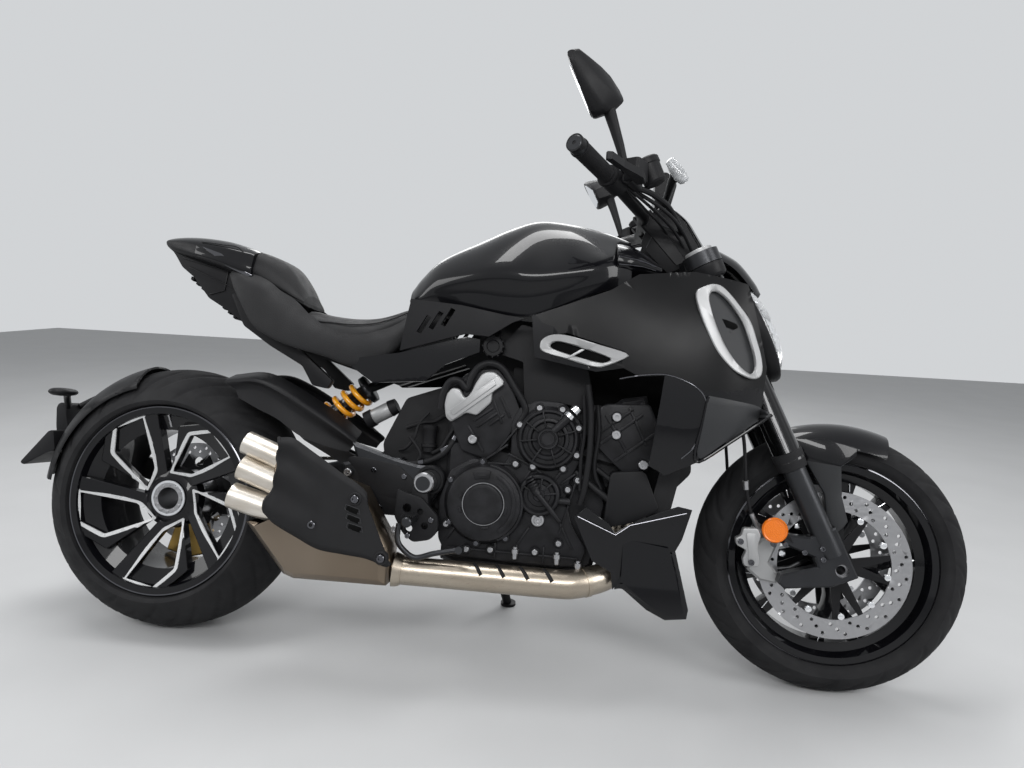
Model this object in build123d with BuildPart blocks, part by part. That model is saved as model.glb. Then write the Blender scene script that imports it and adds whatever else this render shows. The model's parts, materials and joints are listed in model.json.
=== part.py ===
from build123d import *
from math import cos, radians, sin, sqrt
import os

os.makedirs("parts", exist_ok=True)

# Millimetres.  The machine is drawn upright, X forward, Y to its left, Z up, with the ground
# point of the rear wheel at the origin.  At the end the front end is turned about the
# steering axis and the whole machine leans over onto its side stand.

# Stance
wheelbase = 1593
rake = 26
trail = 112
lean = 11
parked_turn = -3.3
steering_lock = 30

# Wheels and tyres
rear_radius = 324
rear_tyre_width = 240
rear_crown = 128
rear_rim_width = 203
rear_rim_depth = 42
front_radius = 300
front_tyre_width = 120
front_crown = 62
front_rim_width = 89
front_rim_depth = 24
bead_radius = 216
flange_radius = 227
rim_wall = 6
tyre_wall = 9
spoke_count = 5
window_corner = 5

# Clearances
running_gap = 0.3
fit_gap = 0.05

# Axles, hubs and brakes
rear_axle_bore = 27
rear_hub_radius = 62
rear_nut_radius = 44
rear_nut_face = 63
hub_tube_radius = 40
hub_barrel_radius = 74
hub_barrel_y = (76, 164)
hub_flange_y = (18, 52)
rear_disc_radius = 132.5
rear_disc_y = 62
sprocket_radius = 84
sprocket_y = 170
sprocket_thickness = 6
front_axle_radius = 14
front_axle_bore = 10
front_hub_radius = 34
front_disc_radius = 165
front_disc_inner = 122
front_disc_y = 64
disc_thickness = 5
disc_hole = 4

# Fork and bars
fork_spread = 105
fork_offset = 27
stanchion_radius = 25
outer_tube_radius = 30
outer_tube_low = 590
fork_top = 1088
fork_clamp_width = 34
yoke_thickness = 30
yoke_wall = 11
upper_yoke_low = 1050
lower_yoke_low = 860
stem_radius = 18
head_tube_radius = 34
bar_radius = 14
bar_bend = 60
grip_radius = 17
grip_length = 125
switch_radius = 24
switch_length = 46

# Engine, swingarm and chain
pivot = (665, 422)
pivot_radius = 16
arm_outside = 164
arm_width = 34
crankcase_half = 132
cover_plane = 150
front_sprocket = (746, 415)
front_sprocket_radius = 38
chain_pitch = 19
chain_depth = 9
chain_width = 12
link_notch = 2.5

# Shock absorber
shock_y = -20
spring_low = (352, 532)
spring_high = (480, 630)
spring_wire = 6.5
spring_radius = 29
spring_pitch = 26
cup_radius = 36
cup_thickness = 12

# Bodywork
panel_wall = 5
plate_corner = 8
mudguard_gap = 10
stand_pivot = (770, 172, 262)
stand_foot_place = (835, 272)
stand_leg_radius = 12
stand_foot_radius = 21
stand_eye_radius = 20
stand_eye_half = 13
stand_pin_radius = 9

# Between these distances from the middle lies every side panel
side_inside = 40
side_outside = 400

# The chassis is drawn for one wheelbase: between these two places it stretches to fit another.
drawn_wheelbase = 1593
stretch_from = 400
stretch_to = 1150


def at(x):
    """Where a drawn place along the machine lies at the chosen wheelbase."""
    share = min(max((x - stretch_from) / (stretch_to - stretch_from), 0), 1)
    return x + (wheelbase - drawn_wheelbase) * share


# Where things stand, worked out from the sizes above
rake_sin = sin(radians(rake))
rake_cos = cos(radians(rake))
lean_turn = Location((0, 0, 0), (-lean, 0, 0))
steering_foot = (wheelbase + trail, 0, 0)
steering_plane = Plane(origin=steering_foot, x_dir=(rake_cos, 0, rake_sin), z_dir=(-rake_sin, 0, rake_cos))
steering_side = Plane(origin=steering_foot, x_dir=(rake_cos, 0, rake_sin), z_dir=(0, -1, 0))
parked_steering = (
    steering_plane.location * Location((0, 0, 0), (0, 0, parked_turn)) * steering_plane.location.inverse()
)


def lowest_point(centre, radius, crown, turn):
    """Height of the lowest point of a round-crowned tyre after its turn."""
    middle = (turn * Location(centre)).position
    beside = (turn * Location((centre[0], centre[1] + 1, centre[2]))).position
    sideways = beside.Z - middle.Z
    return middle.Z - (radius - crown) * sqrt(1 - sideways**2) - crown


rear_low = lowest_point((0, 0, rear_radius), rear_radius, rear_crown, lean_turn)
front_low = lowest_point((wheelbase, 0, front_radius), front_radius, front_crown, lean_turn * parked_steering)
front_drop = (rear_low - front_low) / cos(radians(lean))
front_axle = (wheelbase, 0, front_radius + front_drop)
axle_ahead = -trail * rake_cos + front_axle[2] * rake_sin
axle_up = trail * rake_sin + front_axle[2] * rake_cos

# Planes seen from the machine's right side, and the planes of the tyre sections
side_plane = Plane.XZ
rear_side = Plane(origin=(0, 0, rear_radius), x_dir=(1, 0, 0), z_dir=(0, -1, 0))
front_side = Plane(origin=front_axle, x_dir=(1, 0, 0), z_dir=(0, -1, 0))
leg_side = Plane(origin=front_axle, x_dir=(rake_cos, 0, rake_sin), z_dir=(0, -1, 0))
rear_section = Plane(origin=(0, 0, rear_radius), x_dir=(0, 1, 0), z_dir=(1, 0, 0))
front_section = Plane(origin=front_axle, x_dir=(0, 1, 0), z_dir=(1, 0, 0))
rear_axle_axis = Axis((0, 0, rear_radius), (0, 1, 0))
front_axle_axis = Axis(front_axle, (0, 1, 0))


def ground_at(y):
    """Height of the floor in the upright machine's frame, where the parked machine leans over y."""
    return (rear_low + y * sin(radians(lean))) / cos(radians(lean))


def polar(radius, angle):
    return (radius * cos(radians(angle)), radius * sin(radians(angle)))


finished = []


def keep(piece, name, steered=False):
    """Names a finished piece and puts it in the list that is placed and written at the end."""
    finished.append((piece, name, steered))


def stretched(outline):
    return [(at(x), z) for x, z in outline]


def rounded(points, corner):
    """A sketch of a polygon with its corners rounded."""
    with BuildSketch() as shape:
        Polygon(*points, align=None)
        fillet(shape.vertices(), corner)
    return shape.sketch


def slab(plane, outline, left, right, bevel=0, corner=0, mode=Mode.ADD):
    """Adds a plate parallel to the machine's side, between two distances to its left."""
    with BuildSketch(plane.offset(bevel - left)) as face:
        Polygon(*outline, align=None)
        if corner:
            fillet(face.vertices(), corner)
    extrude(to_extrude=face.sketch, amount=left - right - 2 * bevel, mode=mode)
    if bevel:
        extrude(to_extrude=face.sketch, amount=-bevel, taper=45)
        with BuildSketch(plane.offset(-right - bevel)) as right_face:
            Polygon(*outline, align=None)
            if corner:
                fillet(right_face.vertices(), corner)
        extrude(to_extrude=right_face.sketch, amount=bevel, taper=45)


def plate(outline, left, right, bevel=0, corner=0, mode=Mode.ADD):
    """Adds a chassis plate, its outline in X and Z."""
    slab(side_plane, stretched(outline), left, right, bevel, corner, mode)


def rod(start, end, radius):
    """Adds a round rod between two points."""
    start = Vector(*start)
    reach = Vector(*end) - start
    with BuildSketch(Plane(origin=start, z_dir=reach)) as section:
        Circle(radius)
    extrude(to_extrude=section.sketch, amount=reach.length)


def chassis_rod(start, end, radius):
    rod((at(start[0]), *start[1:]), (at(end[0]), *end[1:]), radius)


def pod(stations):
    """Adds a loft through closed sections across the machine.
    A station is x, half width, low, high, the height of the widest place, and how square it is."""
    sections = []
    for x, half, low, high, waist, square in stations:
        under = low + (waist - low) * (1 - square) * 0.5
        over = high - (high - waist) * (1 - square) * 0.6
        right_side = [(0, low), (half * square, under), (half, waist), (half * square, over)]
        left_side = [(0, high), (-half * square, over), (-half, waist), (-half * square, under)]
        with BuildSketch(Plane.YZ.offset(at(x))) as section:
            with BuildLine():
                Spline(*right_side, *left_side, periodic=True)
            make_face()
        sections.append(section.sketch)
    loft(sections=sections)


def barrel(stations, extra=0):
    """A solid that swells along the machine, from upright ellipses.
    A station is x, half width, middle height and half height."""
    with BuildPart() as body:
        for x, half, middle, reach in stations:
            with BuildSketch(Plane.YZ.offset(at(x))):
                with Locations((0, middle)):
                    Ellipse(half + extra, reach)
        loft()
    return body.part


def side_shell(outline, stations, posts, holes=(), depth=panel_wall):
    """A curved panel on the machine's right side: the outline, cut out of the skin of a barrel.
    A post is x, z and how far out the carrier stands that it reaches in to."""
    with BuildPart() as panel:
        plate(outline, -side_inside, -side_outside)
        for hole in holes:
            plate(hole, -side_inside, -side_outside, mode=Mode.SUBTRACT)
        add(barrel(stations), mode=Mode.INTERSECT)
        add(barrel(stations, -depth), mode=Mode.SUBTRACT)
    with BuildPart() as carriers:
        for x, z, reach in posts:
            chassis_rod((x, -reach, z), (x, -side_outside, z), 10)
        add(barrel(stations, 1 - depth), mode=Mode.INTERSECT)
        add(panel.part)
    return carriers.part


# ---------------------------------------------------------------- wheels and tyres


def rim_profile(width, depth):
    """Section of a drop-centre rim about its axle: flanges, bead seats and well."""
    half = width / 2
    seat = bead_radius - rim_wall
    with BuildSketch() as section:
        with BuildLine():
            Polyline(
                (-half - rim_wall, flange_radius),
                (-half - rim_wall, seat),
                (-half + 16, seat),
                (-half + 34, bead_radius - depth),
                (half - 34, bead_radius - depth),
                (half - 16, seat),
                (half + rim_wall, seat),
                (half + rim_wall, flange_radius),
                (half, flange_radius),
                (half, bead_radius),
                (half - 20, bead_radius),
                (half - 38, bead_radius - depth + rim_wall),
                (-half + 38, bead_radius - depth + rim_wall),
                (-half + 20, bead_radius),
                (-half, bead_radius),
                (-half, flange_radius),
                close=True,
            )
        make_face()
    return section.sketch


def tyre_profile(radius, width, crown, rim_width):
    """Section of the tyre: round tread, sidewalls down to the bead, and the hollow inside."""
    half = width / 2
    shoulder = radius - crown + sqrt(crown**2 - (half - 1) ** 2)
    bead = rim_width / 2 - running_gap
    seat = bead_radius + running_gap
    over_flange = flange_radius + 2
    middle = (shoulder + over_flange) / 2
    inner_half = half - tyre_wall - 4
    with BuildSketch() as section:
        with BuildLine():
            ThreePointArc((1 - half, shoulder), (0, radius), (half - 1, shoulder))
            Spline((half - 1, shoulder), (half - 3, middle), (bead, over_flange))
            Polyline((bead, over_flange), (bead, seat), (bead - 14, seat))
            Spline((bead - 14, seat), (bead - 8, over_flange + 4), (inner_half, shoulder - 2))
            ThreePointArc((inner_half, shoulder - 2), (0, radius - tyre_wall), (-inner_half, shoulder - 2))
            Spline((-inner_half, shoulder - 2), (8 - bead, over_flange + 4), (14 - bead, seat))
            Polyline((14 - bead, seat), (-bead, seat), (-bead, over_flange))
            Spline((-bead, over_flange), (3 - half, middle), (1 - half, shoulder))
        make_face()
    return section.sketch


with BuildPart() as rear_tyre:
    with BuildSketch(rear_section):
        add(tyre_profile(rear_radius, rear_tyre_width, rear_crown, rear_rim_width))
    revolve(axis=rear_axle_axis)
keep(rear_tyre.part, "rear_tyre")

# Each rear spoke is a kite-shaped frame round a through window, swept like a turbine blade.
kite = [(66, 90), (84, 49), (206, 35), (212, 54), (170, 70)]
kite_outside = [(40, 92), (64, 36), (214, 27), (214, 60), (182, 79)]
dish = [(-18, 0), (-52, 0), (-52, 50), (-56, rear_hub_radius), (-104, 215), (-70, 215), (-20, 100)]
with BuildPart() as rear_spokes:
    with BuildSketch(rear_side.offset(10)):
        Circle(rear_hub_radius)
        with PolarLocations(0, spoke_count):
            Polygon(*[polar(r, a) for r, a in kite_outside], align=None)
        with PolarLocations(0, spoke_count):
            add(rounded([polar(r, a) for r, a in kite], window_corner), mode=Mode.SUBTRACT)
        Circle(hub_tube_radius + fit_gap, mode=Mode.SUBTRACT)
    extrude(amount=100)
    with BuildSketch(rear_section):
        Polygon(*dish, align=None)
    revolve(axis=rear_axle_axis, mode=Mode.INTERSECT)
with BuildPart() as rear_wheel:
    with BuildSketch(rear_section):
        add(rim_profile(rear_rim_width, rear_rim_depth))
    revolve(axis=rear_axle_axis)
    add(rear_spokes.part)
keep(rear_wheel.part, "rear_wheel")

# The hub turns in the swingarm's barrel.  Its nut has twelve castellations round the bore.
with BuildPart() as rear_hub:
    with BuildSketch(rear_side.offset(hub_flange_y[1])):
        Circle(rear_nut_radius)
    extrude(amount=rear_nut_face - hub_flange_y[1])
    with BuildSketch(rear_side.offset(rear_nut_face - 6)):
        with PolarLocations(rear_axle_bore + 9, 12):
            Rectangle(8, 8)
    extrude(amount=6, mode=Mode.SUBTRACT)
    with BuildSketch(rear_side.offset(hub_flange_y[1])):
        Circle(hub_tube_radius)
    extrude(amount=-hub_flange_y[1] - sprocket_y - 2 * sprocket_thickness)
    with BuildSketch(rear_side.offset(hub_flange_y[0])):
        Circle(rear_hub_radius)
    extrude(amount=-hub_flange_y[0] - rear_disc_y)
    with BuildSketch(rear_side.offset(-sprocket_y)):
        Circle(sprocket_radius)
        with PolarLocations(62, 6):
            Circle(12, mode=Mode.SUBTRACT)
        with PolarLocations(sprocket_radius, 30):
            Circle(4, mode=Mode.SUBTRACT)
    extrude(amount=-sprocket_thickness)
    with BuildSketch(rear_side.offset(rear_nut_face)):
        Circle(rear_axle_bore)
    extrude(amount=-2 * (sprocket_y + rear_nut_face), mode=Mode.SUBTRACT)
keep(rear_hub.part, "rear_hub")

with BuildPart() as rear_disc:
    with BuildSketch(rear_side.offset(-rear_disc_y)):
        Circle(rear_disc_radius)
        Circle(hub_tube_radius + fit_gap, mode=Mode.SUBTRACT)
        with PolarLocations(82, 8):
            Circle(13, mode=Mode.SUBTRACT)
        for radius, turn in ((110, 0), (121, 7)):
            with PolarLocations(radius, 24, start_angle=turn):
                Circle(disc_hole, mode=Mode.SUBTRACT)
    extrude(amount=-disc_thickness)
keep(rear_disc.part, "rear_disc")

with BuildPart() as front_tyre:
    with BuildSketch(front_section):
        add(tyre_profile(front_radius, front_tyre_width, front_crown, front_rim_width))
    revolve(axis=front_axle_axis)
keep(front_tyre.part, "front_tyre")

# A front spoke leaves the hub as one stem and forks into two arms towards the rim.
between_spokes = [(60, 18), (60, 54), (190, 54), (190, 18)]
spoke_fork = [(104, 0), (190, 9), (190, -9)]
spoke_start = -4
with BuildPart() as front_wheel:
    with BuildSketch(front_section):
        add(rim_profile(front_rim_width, front_rim_depth))
    revolve(axis=front_axle_axis)
    with BuildSketch(front_side.offset(-14)):
        Circle(bead_radius - 14)
        for outline in (between_spokes, spoke_fork):
            with PolarLocations(0, spoke_count, start_angle=spoke_start):
                add(rounded([polar(r, a) for r, a in outline], window_corner), mode=Mode.SUBTRACT)
    extrude(amount=28)
    with BuildSketch(front_side.offset(disc_thickness - front_disc_y)):
        Circle(front_hub_radius)
    extrude(amount=2 * (front_disc_y - disc_thickness))
    with BuildSketch(front_side.offset(-front_disc_y)):
        Circle(front_axle_radius + fit_gap)
    extrude(amount=2 * front_disc_y, mode=Mode.SUBTRACT)
keep(front_wheel.part, "front_wheel")

# Floating discs: a drilled ring on five double arms of its carrier.
with BuildPart() as front_discs:
    with BuildSketch(front_side.offset(front_disc_y)):
        Circle(front_disc_radius)
        for radius, turn in ((132, 0), (143, 6), (154, 12)):
            with PolarLocations(radius, 20, start_angle=turn):
                Circle(disc_hole, mode=Mode.SUBTRACT)
        Circle(front_disc_inner, mode=Mode.SUBTRACT)
        with PolarLocations(0, spoke_count):
            Polygon((30, -16), (124, -34), (126, -24), (60, 0), (126, 24), (124, 34), (30, 16), align=None)
        Circle(front_hub_radius + 8)
        Circle(front_hub_radius - 8, mode=Mode.SUBTRACT)
    extrude(amount=-disc_thickness)
    mirror(about=Plane.XZ)
keep(front_discs.part, "front_discs")

# ---------------------------------------------------------------- fork and steering head

with BuildPart() as fork_tubes:
    with BuildSketch(steering_plane.offset(outer_tube_low)):
        with Locations((fork_offset, fork_spread), (fork_offset, -fork_spread)):
            Circle(outer_tube_radius)
    extrude(amount=fork_top - outer_tube_low)
    with BuildSketch(steering_plane.offset(outer_tube_low)):
        with Locations((fork_offset, fork_spread), (fork_offset, -fork_spread)):
            Circle(stanchion_radius + fit_gap)
    extrude(amount=fork_top - outer_tube_low - 60, mode=Mode.SUBTRACT)
    with BuildSketch(steering_plane.offset(outer_tube_low)):
        with Locations((fork_offset, fork_spread), (fork_offset, -fork_spread)):
            Circle(outer_tube_radius + 3)
            Circle(stanchion_radius + fit_gap, mode=Mode.SUBTRACT)
    extrude(amount=-14)
keep(fork_tubes.part, "fork_tubes", True)

# Each leg ends in a casting that clamps the axle and reaches back to the caliper.
clamp_outline = [
    (26, -26), (26, 91), (-34, 91), (-79, 114), (-95, 100), (-41, 46),
    (-43, 26), (-121, 37), (-135, 22), (-127, 6), (-31, -26),
]
with BuildPart() as fork_legs:
    with BuildSketch(steering_plane.offset(axle_up + 34)):
        with Locations((fork_offset, fork_spread), (fork_offset, -fork_spread)):
            Circle(stanchion_radius)
    extrude(amount=outer_tube_low + 150 - axle_up - 34)
    for middle in (fork_spread, -fork_spread):
        slab(leg_side, clamp_outline, middle + fork_clamp_width / 2, middle - fork_clamp_width / 2, bevel=4)
    with BuildSketch(front_side.offset(2 * fork_spread)):
        Circle(front_axle_radius + fit_gap)
    extrude(amount=-4 * fork_spread, mode=Mode.SUBTRACT)
keep(fork_legs.part, "fork_legs", True)

axle_overhang = 4
with BuildPart() as front_axle_bar:
    with BuildSketch(front_side.offset(fork_spread + axle_overhang)):
        Circle(front_axle_radius)
        Circle(front_axle_bore, mode=Mode.SUBTRACT)
    extrude(amount=-2 * (fork_spread + axle_overhang))
keep(front_axle_bar.part, "front_axle", True)

yoke_outline = [(-34, 30), (0, 110), (46, 110), (46, -110), (0, -110), (-34, -30)]
with BuildPart() as yokes:
    for low in (upper_yoke_low, lower_yoke_low):
        with BuildSketch(steering_plane.offset(low)) as yoke_face:
            Polygon(*yoke_outline, align=None)
            fillet(yoke_face.vertices(), plate_corner)
            with Locations((fork_offset, fork_spread), (fork_offset, -fork_spread)):
                Circle(outer_tube_radius + yoke_wall)
            with Locations((fork_offset, fork_spread), (fork_offset, -fork_spread)):
                Circle(outer_tube_radius + fit_gap, mode=Mode.SUBTRACT)
        extrude(amount=yoke_thickness)
    with BuildSketch(steering_plane.offset(lower_yoke_low)):
        Circle(stem_radius)
    extrude(amount=upper_yoke_low - lower_yoke_low)
keep(yokes.part, "yokes", True)

bar_points = [(-50, 0, 1215), (-54, 110, 1216), (-112, 300, 1268), (-158, 420, 1312)]
riser_low = upper_yoke_low + yoke_thickness
riser_outline = [(-26, riser_low), (6, riser_low), (-26, 1232), (-70, 1232)]
with BuildPart() as handlebar:
    for side in (1, -1):
        route = [steering_plane.from_local_coords((x, side * y, z)) for x, y, z in bar_points]
        with BuildLine() as bar_line:
            FilletPolyline(*route, radius=bar_bend)
        with BuildSketch(Plane(origin=bar_line.line @ 0, z_dir=bar_line.line % 0)):
            Circle(bar_radius)
        sweep(path=bar_line.line)
    for inner in (33, -67):
        slab(steering_side, riser_outline, inner + 34, inner, bevel=4)
keep(handlebar.part, "handlebar", True)


def grip_plane(side):
    """Plane across the bar's end, its z pointing inwards along the grip."""
    end = Vector(*bar_points[-1])
    inner = Vector(*bar_points[-2])
    end = Vector(end.X, side * end.Y, end.Z)
    inner = Vector(inner.X, side * inner.Y, inner.Z)
    start = steering_plane.from_local_coords(end)
    towards = steering_plane.from_local_coords(inner) - start
    return Plane(origin=start, z_dir=towards, x_dir=towards.cross(Vector(0, 0, 1)))


# Grip with its end weight, switch housing, and a lever on a master cylinder with a reservoir.
lever_outline = [
    (-14, 20), (14, 20), (16, 62), (-20, 74), (-90, 66),
    (-grip_length - 14, 66), (-grip_length - 20, 58), (-grip_length - 14, 52), (-90, 52), (-24, 52),
]
with BuildPart() as hand_controls:
    for side in (1, -1):
        across = grip_plane(side)
        for start, length, radius in (
            (-16, 16, grip_radius + 1),
            (0, grip_length, grip_radius),
            (grip_length, switch_length, switch_radius),
        ):
            with BuildSketch(across.offset(start)):
                Circle(radius)
            extrude(amount=length)
        perch_middle = across.from_local_coords((0, 0, grip_length + 30))
        perch = Plane(origin=perch_middle, x_dir=across.z_dir, z_dir=(0, 0, 1))
        forward = 1 if perch.y_dir.X > 0 else -1
        with BuildSketch(perch.offset(-7)):
            Polygon(*[(x, forward * y) for x, y in lever_outline], align=None)
        extrude(amount=14)
        rod(perch.from_local_coords((-16, forward * 38, 0)), perch.from_local_coords((44, forward * 30, 0)), 12)
        with BuildSketch(perch.offset(6)) as reservoir:
            with Locations((26, forward * 34)):
                RectangleRounded(54, 36, 8)
        extrude(to_extrude=reservoir.sketch, amount=40)
with BuildPart() as bar_cut_controls:
    add(hand_controls.part)
    add(handlebar.part, mode=Mode.SUBTRACT)
keep(bar_cut_controls.part, "hand_controls", True)

mirror_outline = [(-78, -10), (-92, 60), (-60, 110), (40, 88), (60, 40), (30, -24)]
with BuildPart() as mirrors:
    for side in (1, -1):
        across = grip_plane(side)
        foot = across.from_local_coords((0, 0, grip_length + switch_length + 8))
        knee = steering_plane.from_local_coords((-62, side * 316, 1350))
        head = steering_plane.from_local_coords((-64, side * 340, 1400))
        rod(foot, knee, 8)
        rod(knee, head, 8)
        with BuildSketch(Plane(origin=head, x_dir=(0, -side, 0), z_dir=(1, 0, 0.25)).offset(-10)) as glass:
            Polygon(*mirror_outline, align=None)
            fillet(glass.vertices(), 2 * plate_corner)
        extrude(to_extrude=glass.sketch, amount=8)
        extrude(to_extrude=glass.sketch, amount=24, taper=14)
    add(bar_cut_controls.part, mode=Mode.SUBTRACT)
    add(handlebar.part, mode=Mode.SUBTRACT)
keep(mirrors.part, "mirrors", True)

stay_outline = [
    (29, 297), (89, 271), (143, 226), (135, 211), (96, 201), (71, 140),
    (61, 85), (49, 77), (16, 65), (16, 91), (39, 159), (31, 241),
]
fender_arc = 40
fender_turn_back = 19
leg_inside = fork_spread - fork_clamp_width / 2
with BuildPart() as fender_shell:
    with BuildSketch(front_section):
        with BuildLine():
            ThreePointArc((-80, front_radius - 38), (0, front_radius + 16), (80, front_radius - 38))
            Line((80, front_radius - 38), (76, front_radius - 38))
            ThreePointArc((76, front_radius - 38), (0, front_radius + 12), (-76, front_radius - 38))
            Line((-76, front_radius - 38), (-80, front_radius - 38))
        make_face()
    revolve(axis=front_axle_axis, revolution_arc=fender_arc)
fender_place = Location(front_axle, (0, -fender_turn_back, 0)) * Location(front_axle).inverse()
with BuildPart() as front_fender:
    add(fender_shell.part.moved(fender_place))
    for left in (leg_inside, 11 - leg_inside):
        slab(leg_side, stay_outline, left, left - 11, bevel=2)
keep(front_fender.part, "front_fender", True)

caliper_outline = [
    (-182, 63), (-160, 98), (-127, 115), (-81, 111), (-103, 86), (-130, 60), (-121, 21), (-135, 11), (-166, 31),
]
caliper_width = 50
with BuildPart() as front_calipers:
    for left in (leg_inside, caliper_width - leg_inside):
        slab(leg_side, caliper_outline, left, left - caliper_width, bevel=5)
    for side in (1, -1):
        with BuildSketch(front_side.offset(-side * (front_disc_y + 1))):
            Circle(front_disc_radius + 3)
        extrude(amount=side * (disc_thickness + 2), mode=Mode.SUBTRACT)
keep(front_calipers.part, "front_calipers", True)

# Facing the machine's front, with x to its left and y up along the steering axis
fork_front = Plane(origin=steering_foot, x_dir=(0, 1, 0), z_dir=(rake_cos, 0, rake_sin))
headlight_middle = 875
with BuildPart() as headlight:
    for ahead, half, tall in ((72, 86, 124), (96, 94, 128), (120, 80, 104), (136, 46, 60)):
        with BuildSketch(fork_front.offset(ahead)):
            with Locations((0, headlight_middle)):
                Ellipse(half, tall)
    loft()
    slab(steering_side, [(46, 862), (74, 862), (74, 888), (46, 888)], 30, -30)
keep(headlight.part, "headlight", True)

screen_outline = [
    (40, 1112), (62, 1106), (90, 1074), (114, 1042), (136, 992),
    (129, 988), (106, 1034), (80, 1064), (52, 1092), (38, 1100),
]
screen_front = [(-80, 980), (-72, 1050), (-44, 1120), (44, 1120), (72, 1050), (80, 980)]
with BuildPart() as fly_screen:
    slab(steering_side, screen_outline, 84, -84)
    with BuildSketch(fork_front) as front_face:
        Polygon(*screen_front, align=None)
        fillet(front_face.vertices(), 2 * plate_corner)
    extrude(to_extrude=front_face.sketch, amount=200, mode=Mode.INTERSECT)
    slab(steering_side, [(46, 1056), (58, 1056), (66, 1090), (46, 1104)], 20, -20)
keep(fly_screen.part, "fly_screen", True)

with BuildPart() as dashboard:
    slab(steering_side, [(-32, 1240), (-22, 1254), (50, 1200), (40, 1186)], 75, -75, bevel=5)
    slab(steering_side, [(14, riser_low), (38, riser_low), (30, 1200), (10, 1200)], 16, -16)
keep(dashboard.part, "dashboard", True)

# ---------------------------------------------------------------- frame, engine and running gear

crankcase = [
    (704, 330), (704, 520), (760, 530), (880, 500), (1010, 505), (1060, 470),
    (1076, 400), (1050, 262), (985, 215), (800, 215), (704, 250),
]
rear_cylinder = [(704, 500), (690, 640), (760, 694), (826, 684), (872, 600), (847, 500)]
front_cylinder = [(990, 470), (1040, 600), (1097, 640), (1150, 650), (1183, 545), (1156, 478), (1070, 430)]
inlet_block = [(840, 500), (860, 600), (962, 596), (1060, 630), (1040, 480)]
pivot_lug = [(720, 330), (720, 520), (640, 480), (632, 400)]
with BuildPart() as engine_block:
    plate(crankcase, crankcase_half, -crankcase_half, bevel=10)
    plate(rear_cylinder, 118, -118, bevel=8)
    plate(front_cylinder, 118, -118, bevel=8)
    plate(inlet_block, 90, -90)
    with BuildSketch(side_plane.offset(100)):
        for x, z, radius in ((802, 387, 92), (935, 539, 74), (918, 434, 50)):
            with Locations((at(x), z)):
                Circle(radius)
    extrude(amount=cover_plane - 100)
    with BuildSketch(side_plane.offset(-100)):
        with Locations((at(880), 430)):
            Circle(92)
        with Locations((at(front_sprocket[0]), front_sprocket[1])):
            Circle(front_sprocket_radius + 8)
    extrude(amount=100 - cover_plane)
    plate([(1000, 505), (1097, 623), (1147, 640), (1183, 540), (1156, 480), (1084, 488)], -110, -134, bevel=5)
    plate(pivot_lug, 100, -100)
    with BuildSketch(side_plane.offset(-110)):
        with Locations((at(pivot[0]), pivot[1])):
            Circle(pivot_radius + fit_gap)
    extrude(amount=220, mode=Mode.SUBTRACT)

# Right-hand covers: clutch with its cap, generator with ribs, water pump; the rear cam cover
# with its bar; on the left the flywheel cover and the boss that carries the front sprocket.
cam_cover = [
    (696, 621), (721, 644), (743, 624), (763, 651), (767, 680), (800, 682),
    (830, 647), (803, 606), (770, 580), (747, 585), (714, 561),
]
with BuildPart() as engine_covers:
    for x, z, radius, height, bosses in ((802, 387, 86, 34, 8), (935, 539, 66, 26, 7), (918, 434, 42, 20, 5)):
        centre = (at(x), z)
        with BuildSketch(side_plane.offset(cover_plane)):
            with Locations(centre):
                Circle(radius)
        extrude(amount=height, taper=12)
        with BuildSketch(side_plane.offset(cover_plane)):
            with Locations(centre):
                with PolarLocations(radius, bosses):
                    Circle(7)
        extrude(amount=12)
        with BuildSketch(side_plane.offset(cover_plane + height)):
            with Locations(centre):
                Circle(radius / 2)
        extrude(amount=6, taper=20)
    with BuildSketch(side_plane.offset(cover_plane + 20)):
        with Locations((at(935), 539)):
            with PolarLocations(38, 8):
                Rectangle(44, 5)
    extrude(amount=10)
    plate(cam_cover, -118, -140, bevel=4)
    with BuildSketch(side_plane.offset(-cover_plane)):
        with Locations((at(880), 430)):
            Circle(84)
    extrude(amount=-26, taper=10)
    with BuildSketch(side_plane.offset(-cover_plane)):
        with Locations((at(front_sprocket[0]), front_sprocket[1])):
            Circle(front_sprocket_radius)
    extrude(amount=-26)
keep(engine_covers.part, "engine_covers")

# The chain is one loop round both sprockets, notched between its links.
front_sprocket_centre = (at(front_sprocket[0]), front_sprocket[1])
sprockets = (((0, rear_radius), sprocket_radius), (front_sprocket_centre, front_sprocket_radius))
with BuildSketch() as chain_outside:
    for centre, radius in sprockets:
        with Locations(centre):
            Circle(radius + running_gap + chain_depth)
    make_hull()
with BuildSketch() as chain_inside:
    for centre, radius in sprockets:
        with Locations(centre):
            Circle(radius + running_gap)
    make_hull()
chain_edge = chain_outside.sketch.wires()[0]
link_count = round(chain_edge.length / chain_pitch)
with BuildPart() as drive_chain:
    with BuildSketch(side_plane.offset(-sprocket_y - sprocket_thickness / 2 - chain_width / 2)):
        add(chain_outside.sketch)
        add(chain_inside.sketch, mode=Mode.SUBTRACT)
        with Locations(*[chain_edge.position_at(i / link_count) for i in range(link_count)]):
            Circle(link_notch, mode=Mode.SUBTRACT)
    extrude(amount=chain_width)
keep(drive_chain.part, "drive_chain")

with BuildPart() as fuel_tank:
    pod([
        (578, 62, 842, 884, 862, 0.75),
        (650, 120, 828, 964, 880, 0.72),
        (760, 172, 822, 1012, 890, 0.70),
        (880, 198, 806, 1058, 880, 0.60),
        (1000, 205, 846, 1046, 920, 0.52),
        (1100, 150, 880, 1024, 940, 0.50),
    ])
keep(fuel_tank.part, "fuel_tank")

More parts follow.
